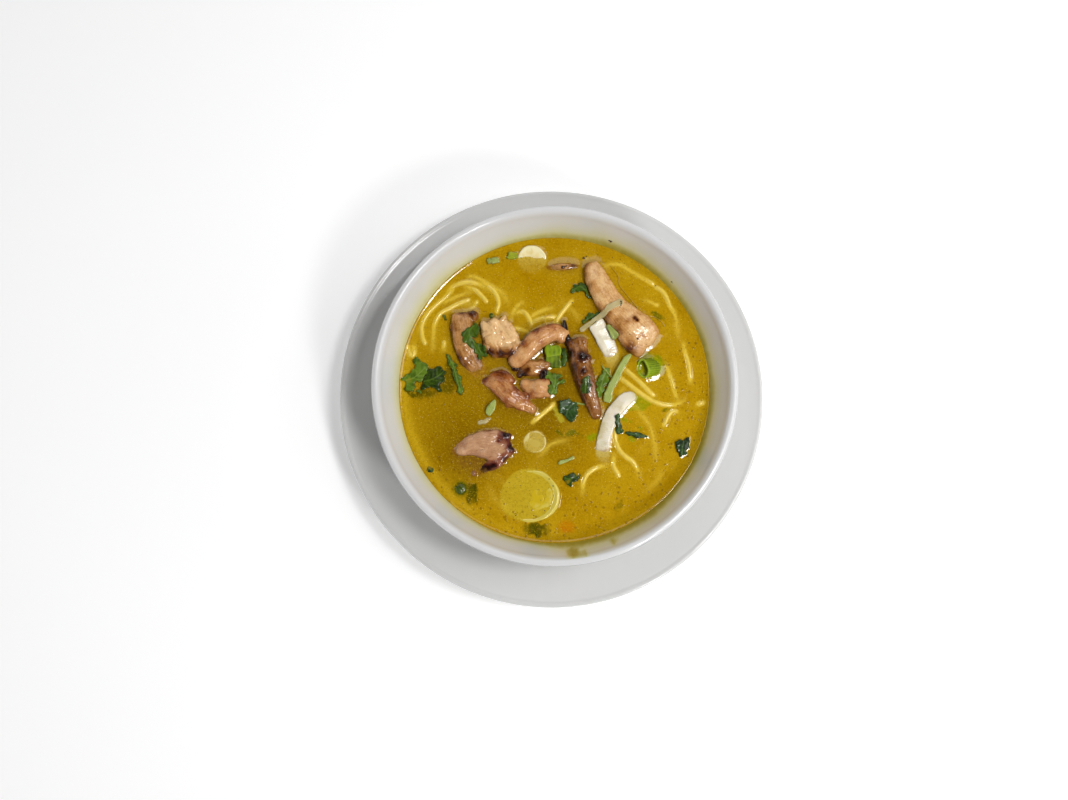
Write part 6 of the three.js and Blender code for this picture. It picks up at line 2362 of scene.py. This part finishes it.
@dataclass
class Studio:
    """Ground, soft light and the camera.

    The sky's steps give the elevation and the brightness. A lamp is given as for the method lamp.
    """

    eye: Point = (-0.00844, -0.08608, 0.48616)
    tilt: float = 10.0
    lens: float = 32.7607
    distance: float = 0.9
    sky: Path = ((0, 0.4), (22, 0.4), (44, 0.0))
    lamps: tuple[tuple[str, float, float, float, float], ...] = (
        ("key", 0, 58, 0.4, 1.9), ("high", -16, 70, 0.16, 2.3), ("glint", 306, 47, 0.12, 2.2),
        ("back", 90, 48, 0.5, 1.1), ("low", 0, 28, 0.3, 0.4), ("fill", 215, 20, 0.5, 0.6),
        ("left", 165, 18, 0.5, 0.8))

    def ground(self) -> None:
        """Lay the pale ground."""
        floor = added(bpy.ops.mesh.primitive_plane_add, size=3, location=(0, 0, -0.0004))
        floor.name = "ground"
        floor.data.materials.append(Backdrop().material())

    def lamp(self, name: str, azimuth: float, elevation: float, size: float, power: float) -> None:
        """Hang a square lamp that faces the bowl.

        Args:
            name: The lamp's name.
            azimuth: Direction seen from above, in degrees from the right.
            elevation: Height above the horizon, in degrees.
            size: Side of the square, in metres.
            power: Watts.
        """
        turn, rise = math.radians(azimuth), math.radians(elevation)
        place = Vector((math.cos(turn) * math.cos(rise), math.sin(turn) * math.cos(rise),
                        math.sin(rise))) * self.distance
        lamp = added(bpy.ops.object.light_add, type="AREA", location=place)
        lamp.name = name
        lamp.data.size = size
        lamp.data.energy = power
        lamp.rotation_euler = (-place).to_track_quat("-Z", "Y").to_euler()

    def build(self) -> None:
        """Set ground, world, lamps and camera."""
        self.ground()
        world = bpy.data.worlds.new("soft_sky")
        world.use_nodes = True
        tree = world.node_tree
        heading = tree.nodes.new("ShaderNodeTexCoord")
        parts = tree.nodes.new("ShaderNodeSeparateXYZ")
        ramp = tree.nodes.new("ShaderNodeValToRGB")
        tree.links.new(heading.outputs["Generated"], parts.inputs[0])
        tree.links.new(parts.outputs["Z"], ramp.inputs[0])
        tree.links.new(ramp.outputs["Color"], tree.nodes["Background"].inputs["Color"])
        while len(ramp.color_ramp.elements) < len(self.sky):
            ramp.color_ramp.elements.new(0.5)
        for stop, (elevation, value) in zip(ramp.color_ramp.elements, self.sky):
            stop.position = math.sin(math.radians(elevation))
            stop.color = (value, value, value, 1)
        bpy.context.scene.world = world
        for lamp in self.lamps:
            self.lamp(*lamp)
        camera = added(bpy.ops.object.camera_add, location=self.eye,
                       rotation=(math.radians(self.tilt), 0, 0))
        camera.data.lens = self.lens
        camera.data.sensor_width = 36
        camera.data.clip_start = 0.01
        bpy.context.scene.camera = camera
        bpy.context.scene.view_settings.view_transform = "Standard"


LEEK_DISC = Translucent("leek_layers", srgb(218, 200, 90), srgb(208, 178, 30))
CREAM_DISC = Translucent("onion_cream", srgb(250, 238, 190), srgb(236, 214, 140))
ONION_DISC = Translucent("onion_layers", srgb(226, 206, 128), srgb(204, 178, 80))
SLICES = (
    Slice("onion_slice_top", (-10.3, 61.5, 42.9), (6.8, 6.4), CREAM_DISC, tilt=14, seed=2.0,
        glow=Glow(srgb(206, 176, 70), 1.1, 0.9)),
    Slice("leek_slice", (-11.3, -50.7, 42.9), (13.7, 12.2), LEEK_DISC, lean=-1.6, rings=(0.78, 0.5),
        seed=3.0, rim_rise=0.55, glow=Glow(srgb(200, 172, 40), 1.8, 0.95)),
    Slice("leek_slice_small", (-8.9, -25.9, 43.0), (5.3, 5.2), ONION_DISC, thickness=1.8, rings=(0.55,),
        seed=4.0, rim_rise=0.25, glow=Glow(srgb(204, 176, 80), 1.8, 0.95)),
)

ONION_FILM = Sheet("onion_film_skin",
    ((11.8, 26.9), (13.2, 28.3), (16.9, 30.7), (21.2, 34), (23.4, 35.7), (24.5, 37.3), (27.7, 39),
     (30.9, 40.3), (32.1, 38.4), (30.3, 36.8), (27.7, 35.7), (25.5, 34.5), (23.9, 32.4), (21.7, 31.3),
     (19, 30.2), (15.8, 27.4), (13.1, 25.7)),
    ((12.4, 26.2, 44.4), (21.6, 32.8, 47), (31.4, 39.4, 48.6)), FILM, "leek", ("onion_film",),
    thickness=0.35, relief=Relief.FLUTES, ripple=0.12, wave=0.25,
    carriers=("cabbage_upper_rib", "chicken_long_strip_meat", "coriander_under_film_leaf"), seed=41.0)


def main() -> None:
    """Build every sub-assembly in order."""
    logging.basicConfig(level=logging.INFO, format="%(message)s")
    shop = Workshop()
    bowl = Bowl()
    noodles = Noodles()
    Underplate().build(shop)
    bowl.build(shop)
    noodles.build(shop, bowl)
    for piece in (*CHICKEN, *SLICES, *CABBAGES, Pea(), SpringOnionTube(), SpringOnionCut(), Carrot()):
        piece.build(shop)
    Fibres().build(shop, noodles)
    for piece in (*STALKS, *LEAVES, ONION_FILM, *SUNK_SHEETS, Specks()):
        piece.build(shop)
    Broth().build(shop, bowl)
    Studio().build()


if __name__ == "__main__":
    main()
